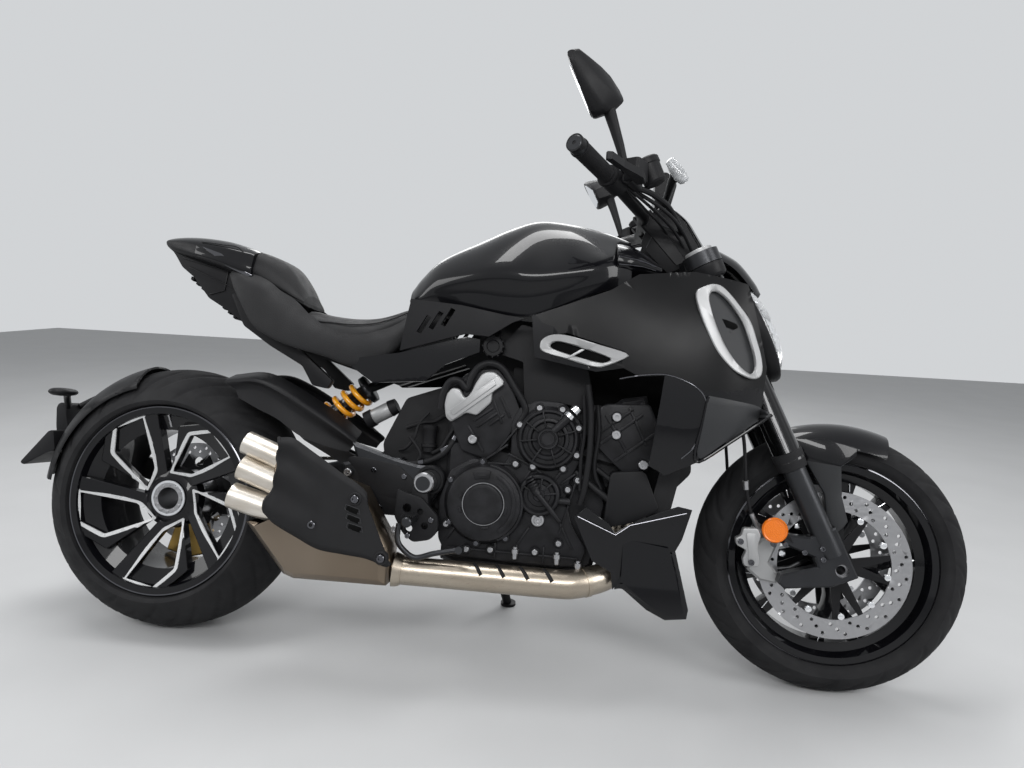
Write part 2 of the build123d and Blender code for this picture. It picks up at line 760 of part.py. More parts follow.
cover_skin = [(560, 150, 760, 260), (700, 172, 770, 260), (800, 186, 780, 260), (900, 198, 790, 260)]
side_cover_outline = [
    (600, 838), (720, 826), (830, 805), (868, 800), (842, 790), (790, 757), (735, 761), (582, 717),
]
slot_corners = ((620, 762), (648, 772), (676, 780))
slots = [[(x, z), (x + 11, z - 5), (x + 33, z + 34), (x + 22, z + 39)] for x, z in slot_corners]
with BuildPart() as side_covers:
    add(side_shell(side_cover_outline, cover_skin, [(790, 785, 130), (760, 795, 130)], slots, 8))
    add(fuel_tank.part, mode=Mode.SUBTRACT)
    mirror(about=Plane.XZ)
keep(side_covers.part, "side_covers")

panel_skin = [(430, 125, 690, 220), (560, 148, 700, 220), (700, 162, 720, 220), (790, 160, 740, 220)]
side_panel_outline = [
    (440, 690), (582, 712), (735, 756), (768, 752), (768, 723), (691, 690), (646, 650), (520, 640),
]
with BuildPart() as side_panels:
    add(side_shell(side_panel_outline, panel_skin, [(620, 690, 130), (500, 680, 118)], depth=7))
    mirror(about=Plane.XZ)
keep(side_panels.part, "side_panels")

with BuildPart() as rider_seat:
    pod([
        (312, 70, 742, 822, 790, 0.8),
        (380, 125, 724, 802, 770, 0.8),
        (470, 135, 712, 796, 762, 0.8),
        (540, 110, 740, 816, 780, 0.8),
        (596, 70, 800, 846, 824, 0.8),
    ])
    add(fuel_tank.part, mode=Mode.SUBTRACT)
keep(rider_seat.part, "rider_seat")

with BuildPart() as pillion_cover:
    pod([
        (112, 60, 900, 962, 930, 0.8),
        (200, 90, 846, 944, 900, 0.8),
        (304, 95, 780, 846, 816, 0.8),
    ])
keep(pillion_cover.part, "pillion_cover")

with BuildPart() as tail_cowl:
    pod([
        (-104, 46, 955, 984, 970, 0.8),
        (-20, 85, 912, 992, 950, 0.8),
        (60, 92, 880, 988, 930, 0.8),
        (111.5, 78, 868, 970, 915, 0.8),
    ])
keep(tail_cowl.part, "tail_cowl")

# Two plate rails run from the head tube to the tail, joined by cross tubes.  The tubes' ends
# carry the covers and the shrouds; a side plate stands against the engine.
head_tube_low = lower_yoke_low + yoke_thickness
head_tube_high = upper_yoke_low
rail_outline = [
    (1290, 806), (1240, 925), (1150, 905), (1080, 900), (860, 840), (600, 850), (560, 760), (300, 800),
    (60, 910), (-10, 945), (0, 905), (165, 808), (315, 708), (560, 640), (720, 700), (800, 640),
    (860, 640), (866, 700), (960, 720), (1070, 620), (1110, 640), (1120, 740), (1240, 780),
]
rail_windows = [
    [(650, 810), (690, 750), (750, 740), (755, 810)],
    [(890, 785), (890, 725), (960, 742), (1062, 658), (1090, 690), (1100, 800), (1000, 815)],
    [(1155, 870), (1210, 882), (1238, 826), (1158, 795)],
]
side_plate = [
    (800, 727), (858, 795), (1000, 760), (1023, 663), (1018, 608),
    (962, 621), (911, 618), (876, 604), (866, 709),
]
cross_tubes = [
    (180, 826, 56), (790, 785, 130), (760, 795, 130), (620, 690, 130), (500, 680, 118), (1130, 850, 160),
]
rail_sides = ((56, 28), (-28, -56))
with BuildPart() as frame:
    with BuildSketch(steering_plane.offset(head_tube_low)):
        Circle(head_tube_radius)
    extrude(amount=head_tube_high - head_tube_low)
    for left, right in rail_sides:
        plate(rail_outline, left, right)
        for window in rail_windows:
            with BuildSketch(side_plane.offset(-left)) as cut:
                Polygon(*stretched(window), align=None)
                fillet(cut.vertices(), plate_corner)
            extrude(to_extrude=cut.sketch, amount=left - right, mode=Mode.SUBTRACT)
    for x, z, reach in cross_tubes:
        chassis_rod((x, -reach, z), (x, reach, z), 11)
    plate(side_plate, -122, -130, corner=5)
    chassis_rod((940, -123, 726), (940, 28, 726), 11)
    with BuildSketch(steering_plane.offset(head_tube_low)):
        Circle(stem_radius + fit_gap)
    extrude(amount=head_tube_high - head_tube_low, mode=Mode.SUBTRACT)
    for neighbour in (engine_block, fuel_tank, rider_seat, pillion_cover, tail_cowl):
        add(neighbour.part, mode=Mode.SUBTRACT)
keep(frame.part, "frame")

radiator_tube = (1215, 560, 160)
with BuildPart() as radiator:
    plate([(1168, 380), (1198, 374), (1262, 664), (1232, 672)], 132, -132)
    for left in (150, -132):
        plate([(1160, 376), (1204, 368), (1268, 668), (1226, 678)], left, left - 18)
    chassis_rod((radiator_tube[0], -160, radiator_tube[1]), (radiator_tube[0], 160, radiator_tube[1]), 11)
    plate([(1140, 560), (1140, 590), (1215, 590), (1215, 560)], 20, -20)
    add(engine_block.part, mode=Mode.SUBTRACT)
keep(radiator.part, "radiator")

shroud_skin = [
    (860, 196, 760, 420), (1000, 216, 740, 420), (1130, 250, 690, 420),
    (1250, 262, 680, 420), (1340, 236, 720, 420), (1420, 180, 740, 420),
]
shroud_outline = [
    (884, 806), (1052, 868), (1109, 905), (1227, 915), (1336, 893), (1385, 721), (1376, 611),
    (1247, 515), (1183, 482), (1150, 500), (1169, 688), (1118, 684), (1086, 700), (1030, 690), (895, 716),
]
intake_outline = [
    (1235, 875), (1249, 800), (1294, 729), (1333, 698), (1358, 700), (1366, 747), (1333, 829), (1270, 885),
]
louvre_outline = [(908, 757), (961, 772), (1087, 735), (1084, 720), (1036, 705), (912, 731)]
with BuildPart() as radiator_shrouds:
    posts = [cross_tubes[-1], radiator_tube]
    add(side_shell(shroud_outline, shroud_skin, posts, (intake_outline, louvre_outline)))
    add(fuel_tank.part, mode=Mode.SUBTRACT)
    mirror(about=Plane.XZ)
keep(radiator_shrouds.part, "radiator_shrouds")

# Each opening of a shroud holds a frame, a grille behind it and a fin across it.
insert_depth = 14
insert_proud = 3
grille_wall = 2
inserts = (
    (intake_outline, "intake_frames", 13, [(1240, 800), (1375, 780), (1375, 788), (1240, 808)]),
    (louvre_outline, "air_louvres", 10, [(1000, 700), (1012, 700), (1030, 775), (1018, 775)]),
)


def block_within(outline, inset):
    """A block across the right side, its outline drawn in by the inset."""
    with BuildPart() as block:
        with BuildSketch(side_plane.offset(side_inside)):
            Polygon(*stretched(outline), align=None)
            offset(amount=-inset, kind=Kind.INTERSECTION, mode=Mode.REPLACE)
        extrude(amount=side_outside - side_inside)
    return block.part


for outline, name, border, fin in inserts:
    with BuildPart() as cavity:
        add(block_within(outline, border))
        add(barrel(shroud_skin, grille_wall - insert_depth), mode=Mode.SUBTRACT)
        plate(fin, -side_inside, -side_outside, mode=Mode.SUBTRACT)
    with BuildPart() as insert:
        add(block_within(outline, running_gap))
        add(barrel(shroud_skin, insert_proud), mode=Mode.INTERSECT)
        add(barrel(shroud_skin, -insert_depth), mode=Mode.SUBTRACT)
        add(cavity.part, mode=Mode.SUBTRACT)
        mirror(about=Plane.XZ)
    keep(insert.part, name)

pan_outline = [
    (1098, 226), (1103, 238), (1168, 189), (1208, 171), (1253, 177),
    (1256, 197), (1223, 317), (1215, 336), (1150, 345), (1098, 352),
]
with BuildPart() as belly_pan:
    plate(pan_outline, 185, -185, bevel=12)
    with BuildSketch(Plane.XY.offset(196)):
        with Locations((at(1130), 0)):
            Rectangle(170, 350)
    extrude(amount=200, mode=Mode.SUBTRACT)
    chassis_rod((1142, -176, 330), (1142, 176, 330), 8)
    chassis_rod((1142, 0, 330), (1030, 0, 330), 10)
    add(engine_block.part, mode=Mode.SUBTRACT)
keep(belly_pan.part, "belly_pan")

muffler_front = 612
header_radius = 28
header_points = [(1128, -84, 486), (1090, -104, 244), (1010, -168, 226), (muffler_front, -172, 226)]
with BuildPart() as exhaust_header:
    with BuildLine() as header_line:
        FilletPolyline(*[(at(x), y, z) for x, y, z in header_points], radius=50)
    with BuildSketch(Plane(origin=header_line.line @ 0, z_dir=header_line.line % 0)):
        Circle(header_radius)
    sweep(path=header_line.line)
    add(engine_block.part, mode=Mode.SUBTRACT)
keep(exhaust_header.part, "exhaust_header")

muffler_outline = [
    (292, 316), (384, 212), (408, 204), (muffler_front, 206), (muffler_front, 290),
    (554, 381), (540, 404), (390, 450), (340, 480), (340, 340),
]
tail_pipe_heights = (505, 447, 385, 350)
with BuildPart() as muffler:
    plate(muffler_outline, -146, -252, bevel=16)
    for z in tail_pipe_heights:
        chassis_rod((348, -222, z - 20), (262, -222, z), 24)
    for z in tail_pipe_heights:
        with BuildSketch(Plane(origin=(262, -222, z), z_dir=(-86, 0, 20))) as mouth:
            Circle(22)
        extrude(to_extrude=mouth.sketch, amount=-60, mode=Mode.SUBTRACT)
    add(exhaust_header.part, mode=Mode.SUBTRACT)
keep(muffler.part, "muffler")

shield_outline = [
    (348, 500), (386, 458), (496, 426), (536, 407), (560, 295), (609, 238),
    (500, 250), (402, 276), (343, 329), (332, 359),
]
with BuildPart() as muffler_shield:
    plate(shield_outline, -252, -258, corner=6)
    for z in (338, 356, 374):
        plate([(500, z), (530, z + 4), (530, z + 13), (500, z + 9)], -252, -258, mode=Mode.SUBTRACT)
keep(muffler_shield.part, "muffler_shield")

shock_ear = [(480, 455), (480, 415), (330, 490), (310, 506), (314, 526), (338, 528), (346, 506)]
ear_gap = 14
ear_thickness = 12
arm_stations = [
    # x, middle height, height
    (690, 424, 64), (600, 410, 110), (480, 392, 140), (300, 356, 120), (100, 330, 110), (-40, rear_radius, 110),
]
right_arm = [
    (690, 456), (690, 392), (653, 339), (569, 339), (523, 374), (504, 441), (482, 499), (584, 470), (640, 458),
]
arm_side = [(690, 456), (690, 392), (560, 360), (560, 460)]
with BuildPart() as swingarm:
    for x, middle, height in arm_stations:
        with BuildSketch(Plane.YZ.offset(at(x))):
            with Locations((arm_outside - arm_width / 2, middle)):
                RectangleRounded(arm_width, height, 12)
    loft(ruled=True)
    plate([(596, 470), (596, 340), (470, 360), (460, 450), (560, 470)], 131, -131, bevel=6)
    plate(arm_side, arm_outside - 20, 100)
    plate(right_arm, -104, -140, bevel=6)
    for left in (shock_y + ear_gap + ear_thickness, shock_y - ear_gap):
        plate(shock_ear, left, left - ear_thickness, corner=4)
    chassis_rod((pivot[0], -186, pivot[1]), (pivot[0], 186, pivot[1]), pivot_radius)
    with BuildSketch(rear_side.offset(-hub_barrel_y[0])):
        Circle(hub_barrel_radius)
    extrude(amount=hub_barrel_y[0] - hub_barrel_y[1])
    with BuildSketch(rear_side.offset(-60)):
        Circle(hub_tube_radius + fit_gap)
    extrude(amount=-120, mode=Mode.SUBTRACT)
keep(swingarm.part, "swingarm")

low_cup = Vector(at(spring_low[0]), shock_y, spring_low[1])
high_cup = Vector(at(spring_high[0]), shock_y, spring_high[1])
spring_way = (high_cup - low_cup).normalized()
low_eye = low_cup - spring_way * 30
coil_start = cup_thickness + spring_wire + running_gap
with BuildPart() as shock_spring:
    with BuildLine() as coil:
        Helix(
            pitch=spring_pitch,
            height=(high_cup - low_cup).length - 2 * coil_start,
            radius=spring_radius,
            center=low_cup + spring_way * coil_start,
            direction=spring_way,
        )
    with BuildSketch(Plane(origin=coil.line @ 0, z_dir=coil.line % 0)):
        Circle(spring_wire)
    sweep(path=coil.line, is_frenet=True)
keep(shock_spring.part, "shock_spring")

with BuildPart() as shock_absorber:
    rod(low_cup, low_eye, 11)
    rod(low_eye + Vector(0, ear_gap, 0), low_eye - Vector(0, ear_gap, 0), 17)
    rod(low_cup, high_cup, 18)
    rod(high_cup, (at(560), shock_y, 668), 12)
    rod(low_cup, low_cup + spring_way * cup_thickness, cup_radius)
    rod(high_cup - spring_way * cup_thickness, high_cup, cup_radius)
    add(swingarm.part, mode=Mode.SUBTRACT)
    add(frame.part, mode=Mode.SUBTRACT)
keep(shock_absorber.part, "shock_absorber")

hugger_side = [
    (137, 643), (183, 641), (307, 601), (400, 548), (430, 500), (424, 470),
    (316, 503), (239, 515), (174, 580),
]
with BuildPart() as hugger:
    plate([(150, 662), (200, 652), (330, 600), (330, 590), (190, 640), (150, 652)], 133, -113)
    plate([(150, 656), (330, 594), (330, 395), (230, 395), (190, 520)], 133, 127)
    plate(hugger_side, -107, -113, corner=5)
    add(swingarm.part, mode=Mode.SUBTRACT)
keep(hugger.part, "hugger")

# The mudguard hugs the tyre's crown on an arm from the swingarm, and carries the plate bracket
# with the two turn signals.
mudguard_high = 105.6
mudguard_low = 174
mudguard_half = 112
mudguard_wall = 5
crown_centre = rear_radius - rear_crown
guard_inner = rear_crown + mudguard_gap
guard_outer = guard_inner + mudguard_wall
edge_inner = crown_centre + sqrt(guard_inner**2 - mudguard_half**2)
edge_outer = crown_centre + sqrt(guard_outer**2 - mudguard_half**2)
guard_top = crown_centre + guard_outer
bracket_outline = [
    (-guard_top + 3, 345), (-guard_top + 5, 378), (-guard_top - 10, 430), (-366, 500), (-372, 560),
    (-386, 560), (-396, 455), (-455, 378), (-450, 368), (-391, 350), (-345, 330),
]
with BuildPart() as mudguard:
    with BuildSketch(rear_section):
        with BuildLine():
            ThreePointArc((-mudguard_half, edge_outer), (0, guard_top), (mudguard_half, edge_outer))
            Line((mudguard_half, edge_outer), (mudguard_half, edge_inner))
            ThreePointArc(
                (mudguard_half, edge_inner), (0, crown_centre + guard_inner), (-mudguard_half, edge_inner)
            )
            Line((-mudguard_half, edge_inner), (-mudguard_half, edge_outer))
        make_face()
    revolve(axis=rear_axle_axis, revolution_arc=mudguard_low - mudguard_high)
rear_axle = Location((0, 0, rear_radius))
mudguard_place = rear_axle * Location((0, 0, 0), (0, 90 - mudguard_low, 0)) * rear_axle.inverse()
arm_left = arm_outside - 12
arm_foot = [(edge_inner, 160), (guard_top, 160), (guard_top, 171), (edge_inner, 171)]
with BuildPart() as rear_fender:
    add(mudguard.part.moved(mudguard_place))
    with BuildSketch(rear_side.offset(-arm_left)) as arm_face:
        Polygon(polar(60, 150), polar(guard_top, 160), polar(guard_top, 171), polar(60, 200), align=None)
    extrude(to_extrude=arm_face.sketch, amount=12)
    with BuildSketch(rear_side.offset(-arm_left)) as arm_end:
        Polygon(*[polar(r, a) for r, a in arm_foot], align=None)
    extrude(to_extrude=arm_end.sketch, amount=arm_left - mudguard_half + 6)
    slab(side_plane, bracket_outline, 28, -28, bevel=4)
    slab(side_plane, [(-398, 456), (-455, 378), (-450, 372), (-392, 450)], 92, -92)
    for side in (1, -1):
        rod((-376, 0, 548), (-350, side * 104, 566), 8)
        rod((-350, side * 100, 566), (-350, side * 166, 566), 19)
    add(swingarm.part, mode=Mode.SUBTRACT)
keep(rear_fender.part, "rear_fender")

caliper_face = [polar(164, -112), polar(168, -90), polar(164, -68), polar(88, -62), polar(88, -118)]
caliper_foot = [polar(100, -112), polar(100, -68), polar(60, -68), polar(60, -112)]
with BuildPart() as rear_caliper:
    slab(rear_side, caliper_face, 86, 48, bevel=4)
    slab(rear_side, caliper_foot, 92, 80)
    with BuildSketch(rear_side.offset(1 - rear_disc_y)):
        Circle(rear_disc_radius + 3)
    extrude(amount=-disc_thickness - 2, mode=Mode.SUBTRACT)
    add(swingarm.part, mode=Mode.SUBTRACT)
keep(rear_caliper.part, "rear_caliper")

# Heel plates on the pivot's ends carry the pegs; the brake pedal is on the right.
hanger_outline = [(610, 330), (690, 322), (704, 345), (690, 442), (640, 442), (612, 400)]
hanger_y = 186
hanger_thickness = 14
peg_length = 88
pedal_outline = [(634, 350), (650, 254), (662, 246), (765, 278), (762, 290), (666, 262), (649, 350)]
pedal_inset = 3
with BuildPart() as foot_controls:
    for side in (1, -1):
        inner, outer = side * hanger_y, side * (hanger_y + hanger_thickness)
        plate(hanger_outline, max(inner, outer), min(inner, outer), bevel=2, corner=6)
        with BuildSketch(side_plane.offset(-side * (hanger_y + hanger_thickness - 1))) as peg:
            with Locations((at(650), 345)):
                RectangleRounded(30, 22, 6)
        extrude(to_extrude=peg.sketch, amount=-side * peg_length)
    plate(pedal_outline, -hanger_y - pedal_inset, pedal_inset - hanger_y - hanger_thickness, corner=3)
    chassis_rod((756, -hanger_y, 285), (756, -hanger_y - 38, 285), 9)
keep(foot_controls.part, "foot_controls")

# ---------------------------------------------------------------- side stand

stand_foot_x, stand_foot_y = at(stand_foot_place[0]), stand_foot_place[1]
stand_foot = Vector(stand_foot_x, stand_foot_y, ground_at(stand_foot_y))
stand_hinge = Vector(at(stand_pivot[0]), stand_pivot[1], stand_pivot[2])
stand_down = (stand_foot - stand_hinge).normalized()
stand_up = Vector(-0.985, 0.10, 0.14)
stand_axis = stand_down.cross(stand_up).normalized()
floor_up = (0, -sin(radians(lean)), cos(radians(lean)))
with BuildPart() as side_stand:
    rod(stand_hinge - stand_axis * stand_eye_half, stand_hinge + stand_axis * stand_eye_half, stand_eye_radius)
    rod(stand_hinge, stand_foot - stand_down * 8, stand_leg_radius)
    with BuildSketch(Plane(origin=stand_foot, z_dir=floor_up)):
        Circle(stand_foot_radius)
    extrude(amount=7)
    with BuildSketch(Plane(origin=stand_hinge, z_dir=stand_axis)) as eye_bore:
        Circle(stand_pin_radius + fit_gap)
    extrude(to_extrude=eye_bore.sketch, amount=stand_eye_half * 2, both=True, mode=Mode.SUBTRACT)
keep(side_stand.part, "side_stand")

eye_face = stand_eye_half + running_gap
with BuildPart() as engine_and_lug:
    add(engine_block.part)
    rod(stand_hinge - stand_axis * 64, stand_hinge - stand_axis * eye_face, 15)
    rod(stand_hinge - stand_axis * 20, stand_hinge + stand_axis * (stand_eye_half + 4), stand_pin_radius)
keep(engine_and_lug.part, "engine_block")

# ---------------------------------------------------------------- parking lean and export

placed = []
for piece, name, steered in finished:
    if steered or name in ("front_wheel", "front_tyre", "front_discs"):
        piece = piece.moved(parked_steering)
    placed.append((piece.moved(lean_turn), name))
boxes = [piece.bounding_box() for piece, name in placed]
middle_x = (min(box.min.X for box in boxes) + max(box.max.X for box in boxes)) / 2
middle_y = (min(box.min.Y for box in boxes) + max(box.max.Y for box in boxes)) / 2
floor_z = min(box.min.Z for box in boxes)
to_origin = Location((-middle_x, -middle_y, -floor_z))
for piece, name in placed:
    piece = piece.moved(to_origin)
    piece.label = name
    export_step(piece, f"parts/{name}.step")
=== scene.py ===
import bpy
import json
import math
from mathutils import Matrix, Vector
from mathutils.bvhtree import BVHTree


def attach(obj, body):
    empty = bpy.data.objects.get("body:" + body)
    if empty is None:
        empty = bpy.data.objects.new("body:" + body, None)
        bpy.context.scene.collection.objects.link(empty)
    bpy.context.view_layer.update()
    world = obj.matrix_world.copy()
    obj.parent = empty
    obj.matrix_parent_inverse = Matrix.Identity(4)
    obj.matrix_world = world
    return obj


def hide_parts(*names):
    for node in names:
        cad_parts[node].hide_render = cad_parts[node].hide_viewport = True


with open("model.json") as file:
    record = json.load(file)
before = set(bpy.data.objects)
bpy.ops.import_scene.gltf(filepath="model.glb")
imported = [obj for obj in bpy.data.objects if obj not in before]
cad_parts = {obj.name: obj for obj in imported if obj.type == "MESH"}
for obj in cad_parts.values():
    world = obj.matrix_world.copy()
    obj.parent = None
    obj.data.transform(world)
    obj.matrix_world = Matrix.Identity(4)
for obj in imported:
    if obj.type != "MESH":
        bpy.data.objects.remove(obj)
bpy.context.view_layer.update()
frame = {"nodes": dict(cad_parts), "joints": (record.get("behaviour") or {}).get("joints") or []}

# places: the machine leans, so pieces are made upright in millimetres and moved by these
jointOf = {joint["name"]: joint for joint in frame["joints"]}


def jointPlace(name):
    return Vector(jointOf[name]["pos_m"])


def jointAxis(name):
    return Vector(jointOf[name]["axis"]).normalized()


def placeFrom(origin, xAxis, yAxis, zAxis):
    turn = Matrix((xAxis, yAxis, zAxis)).transposed().to_4x4()
    return Matrix.Translation(origin) @ turn


rearAxle = jointPlace("rear_wheel_spin")
frontAxle = jointPlace("front_wheel_spin")
ahead = Vector((1, 0, 0))
bikeY = jointAxis("rear_wheel_spin")
bikeZ = ahead.cross(bikeY)
axleHeight = 324
bikePlace = placeFrom(rearAxle - bikeZ * axleHeight / 1000, ahead, bikeY, bikeZ)
rearPlace = placeFrom(rearAxle, ahead, bikeY, bikeZ)

forkY = jointAxis("front_wheel_spin")
forkZ = jointAxis("steering")
forkX = forkY.cross(forkZ).normalized()
forkAxle = {"ahead": 31, "up": 319}  # the front axle from the steering axis's own ground point
forkPlace = placeFrom(frontAxle - (forkX * forkAxle["ahead"] + forkZ * forkAxle["up"]) / 1000, forkX, forkY, forkZ)
frontX = (ahead - forkY * ahead.dot(forkY)).normalized()
frontPlace = placeFrom(frontAxle, frontX, forkY, frontX.cross(forkY))
print("places ready")

# camera
cameraAt = {"fromAxle": (0.992018, -1.580762, 0.576089), "lens": 23.70, "sensor": 36,
            "right": (0.99341703, 0.10433488, 0.04729518), "up": (-0.06176194, 0.14010529, 0.98820846)}
cameraData = bpy.data.cameras.new("camera")
cameraData.lens = cameraAt["lens"]
cameraData.sensor_width = cameraAt["sensor"]
camera = bpy.data.objects.new("camera", cameraData)
bpy.context.scene.collection.objects.link(camera)
cameraRight = Vector(cameraAt["right"]).normalized()
cameraUp = Vector(cameraAt["up"]).normalized()
camera.matrix_world = placeFrom(rearAxle + Vector(cameraAt["fromAxle"]), cameraRight, cameraUp,
                                cameraRight.cross(cameraUp))
bpy.context.scene.camera = camera
bpy.context.scene.view_settings.view_transform = "Standard"
print("camera ready")

# finishes: each is its own small set of shader nodes
def newFinish(name, colour, metal=0.0, rough=0.5, coat=0.0, coatRough=0.03, sheen=0.0, shine=0.5):
    finish = bpy.data.materials.new(name)
    finish.use_nodes = True
    shader = finish.node_tree.nodes["Principled BSDF"]
    shader.inputs["Base Color"].default_value = (*colour, 1)
    shader.inputs["Metallic"].default_value = metal
    shader.inputs["Roughness"].default_value = rough
    shader.inputs["Coat Weight"].default_value = coat
    shader.inputs["Coat Roughness"].default_value = coatRough
    shader.inputs["Sheen Weight"].default_value = sheen
    shader.inputs["Specular IOR Level"].default_value = shine
    finish.diffuse_color = (*colour, 1)
    return finish


def patternOf(finish, kind="ShaderNodeTexNoise", scale=400.0, stretch=(1, 1, 1), turn=(0, 0, 0), detail=3.0):
    nodes, links = finish.node_tree.nodes, finish.node_tree.links
    place = nodes.new("ShaderNodeTexCoord")
    mapping = nodes.new("ShaderNodeMapping")
    mapping.inputs["Scale"].default_value = stretch
    mapping.inputs["Rotation"].default_value = turn
    links.new(place.outputs["Object"], mapping.inputs["Vector"])
    pattern = nodes.new(kind)
    pattern.inputs["Scale"].default_value = scale
    if "Detail" in pattern.inputs:
        pattern.inputs["Detail"].default_value = detail
    links.new(mapping.outputs["Vector"], pattern.inputs["Vector"])
    return pattern.outputs["Distance" if kind == "ShaderNodeTexVoronoi" else "Fac"]


def blendedRange(finish, pattern, low, high, fromLow=0.3, fromHigh=0.7):
    nodes, links = finish.node_tree.nodes, finish.node_tree.links
    spread = nodes.new("ShaderNodeMapRange")
    spread.inputs["From Min"].default_value = fromLow
    spread.inputs["From Max"].default_value = fromHigh
    spread.inputs["To Min"].default_value = low
    spread.inputs["To Max"].default_value = high
    links.new(pattern, spread.inputs["Value"])
    return spread.outputs["Result"]


def varyRough(finish, low, high, scale=14.0, stretch=(1, 1, 1), turn=(0, 0, 0)):
    shader = finish.node_tree.nodes["Principled BSDF"]
    pattern = patternOf(finish, scale=scale, stretch=stretch, turn=turn)
    finish.node_tree.links.new(blendedRange(finish, pattern, low, high), shader.inputs["Roughness"])


def varyColour(finish, one, other, scale=20.0, stretch=(1, 1, 1), turn=(0, 0, 0), fromLow=0.35, fromHigh=0.65):
    nodes, links = finish.node_tree.nodes, finish.node_tree.links
    mix = nodes.new("ShaderNodeMix")
    mix.data_type = "RGBA"
    mix.inputs["A"].default_value = (*one, 1)
    mix.inputs["B"].default_value = (*other, 1)
    pattern = patternOf(finish, scale=scale, stretch=stretch, turn=turn)
    links.new(blendedRange(finish, pattern, 0, 1, fromLow, fromHigh), mix.inputs["Factor"])
    links.new(mix.outputs["Result"], nodes["Principled BSDF"].inputs["Base Color"])


def roughen(finish, depth, scale, kind="ShaderNodeTexNoise", stretch=(1, 1, 1), turn=(0, 0, 0), strength=0.6):
    nodes, links = finish.node_tree.nodes, finish.node_tree.links
    shader = nodes["Principled BSDF"]
    bump = nodes.new("ShaderNodeBump")
    bump.inputs["Distance"].default_value = depth
    bump.inputs["Strength"].default_value = strength
    links.new(patternOf(finish, kind, scale, stretch, turn), bump.inputs["Height"])
    if shader.inputs["Normal"].links:
        links.new(shader.inputs["Normal"].links[0].from_socket, bump.inputs["Normal"])
    links.new(bump.outputs["Normal"], shader.inputs["Normal"])


glossBlack = newFinish("glossBlackPaint", (0.003, 0.003, 0.004), rough=0.3, coat=0.5, coatRough=0.03, shine=0.08)
varyRough(glossBlack, 0.26, 0.34)
roughen(glossBlack, 0.00004, 260, strength=0.25)
satinBlack = newFinish("satinBlackPlastic", (0.009, 0.009, 0.01), rough=0.45, shine=0.16)
varyRough(satinBlack, 0.38, 0.52, 18)
roughen(satinBlack, 0.00012, 1500, strength=0.5)
shroudBlack = newFinish("shroudSatinBlack", (0.006, 0.006, 0.0065), rough=0.36, shine=0.16)
varyRough(shroudBlack, 0.32, 0.4, 9)
roughen(shroudBlack, 0.00008, 1500, strength=0.4)
mattBlack = newFinish("mattBlackPlastic", (0.013, 0.013, 0.014), rough=0.6, shine=0.18)
varyRough(mattBlack, 0.58, 0.74, 22)
roughen(mattBlack, 0.0002, 1100, "ShaderNodeTexVoronoi", strength=0.5)
greyPlastic = newFinish("greySatinPlastic", (0.026, 0.027, 0.029), rough=0.42, shine=0.25)
varyRough(greyPlastic, 0.36, 0.48, 16)
roughen(greyPlastic, 0.00012, 1400, strength=0.5)
graphite = newFinish("graphiteCasting", (0.05, 0.052, 0.056), metal=0.55, rough=0.42)
varyColour(graphite, (0.042, 0.044, 0.047), (0.07, 0.072, 0.077), 30)
varyRough(graphite, 0.36, 0.5, 24)
roughen(graphite, 0.0003, 700, "ShaderNodeTexVoronoi", strength=0.5)
engineBlack = newFinish("engineBlackPaint", (0.012, 0.012, 0.013), metal=0.2, rough=0.4, shine=0.2)
varyColour(engineBlack, (0.009, 0.009, 0.01), (0.017, 0.017, 0.019), 30)
varyRough(engineBlack, 0.34, 0.5, 24)
roughen(engineBlack, 0.0003, 800, "ShaderNodeTexVoronoi", strength=0.45)
darkTube = newFinish("darkPolishedTube", (0.012, 0.012, 0.013), metal=0.8, rough=0.2, coat=0.6)
varyRough(darkTube, 0.14, 0.26, 30, (1, 1, 4))
roughen(darkTube, 0.00003, 900, strength=0.3)
darkMetal = newFinish("darkSatinMetal", (0.03, 0.031, 0.034), metal=0.7, rough=0.34)
varyRough(darkMetal, 0.28, 0.4, 26)
roughen(darkMetal, 0.00008, 1200, strength=0.4)
steel = newFinish("plainSteel", (0.36, 0.36, 0.37), metal=1.0, rough=0.34)
varyRough(steel, 0.28, 0.42, 40, (1, 1, 6))
roughen(steel, 0.00004, 900, stretch=(1, 1, 8), strength=0.4)
silver = newFinish("silverSatinPaint", (0.34, 0.342, 0.345), metal=0.45, rough=0.42)
varyRough(silver, 0.36, 0.48, 20)
roughen(silver, 0.00006, 1600, strength=0.4)
windowEdge = newFinish("brightWindowEdge", (0.6, 0.605, 0.61), metal=0.35, rough=0.3, coat=0.3)
varyRough(windowEdge, 0.24, 0.36, 50)
roughen(windowEdge, 0.00003, 1800, stretch=(8, 1, 1), strength=0.3)
machined = newFinish("machinedBrightEdge", (0.82, 0.83, 0.85), metal=1.0, rough=0.2)
varyRough(machined, 0.14, 0.28, 60)
roughen(machined, 0.00004, 1800, stretch=(8, 1, 1), strength=0.4)
warmSteel = newFinish("warmBrushedSteel", (0.4, 0.35, 0.29), metal=1.0, rough=0.3)
varyColour(warmSteel, (0.37, 0.32, 0.26), (0.45, 0.4, 0.33), 5, (1, 3, 3))
varyRough(warmSteel, 0.26, 0.36, 60, (1, 12, 12), (0, 0.3, 0))
roughen(warmSteel, 0.00006, 500, stretch=(1, 14, 14), turn=(0, 0.3, 0), strength=0.5)
brushedPipe = newFinish("brushedPipeSteel", (0.62, 0.57, 0.5), metal=0.9, rough=0.36)
varyColour(brushedPipe, (0.58, 0.53, 0.46), (0.7, 0.66, 0.6), 6, (2, 1, 6))
varyRough(brushedPipe, 0.3, 0.42, 30, (1, 1, 9))
roughen(brushedPipe, 0.00005, 700, stretch=(12, 1, 1), turn=(0, 0.35, 0), strength=0.45)
bronzeSteel = newFinish("bronzeSteel", (0.2, 0.16, 0.12), metal=1.0, rough=0.3)
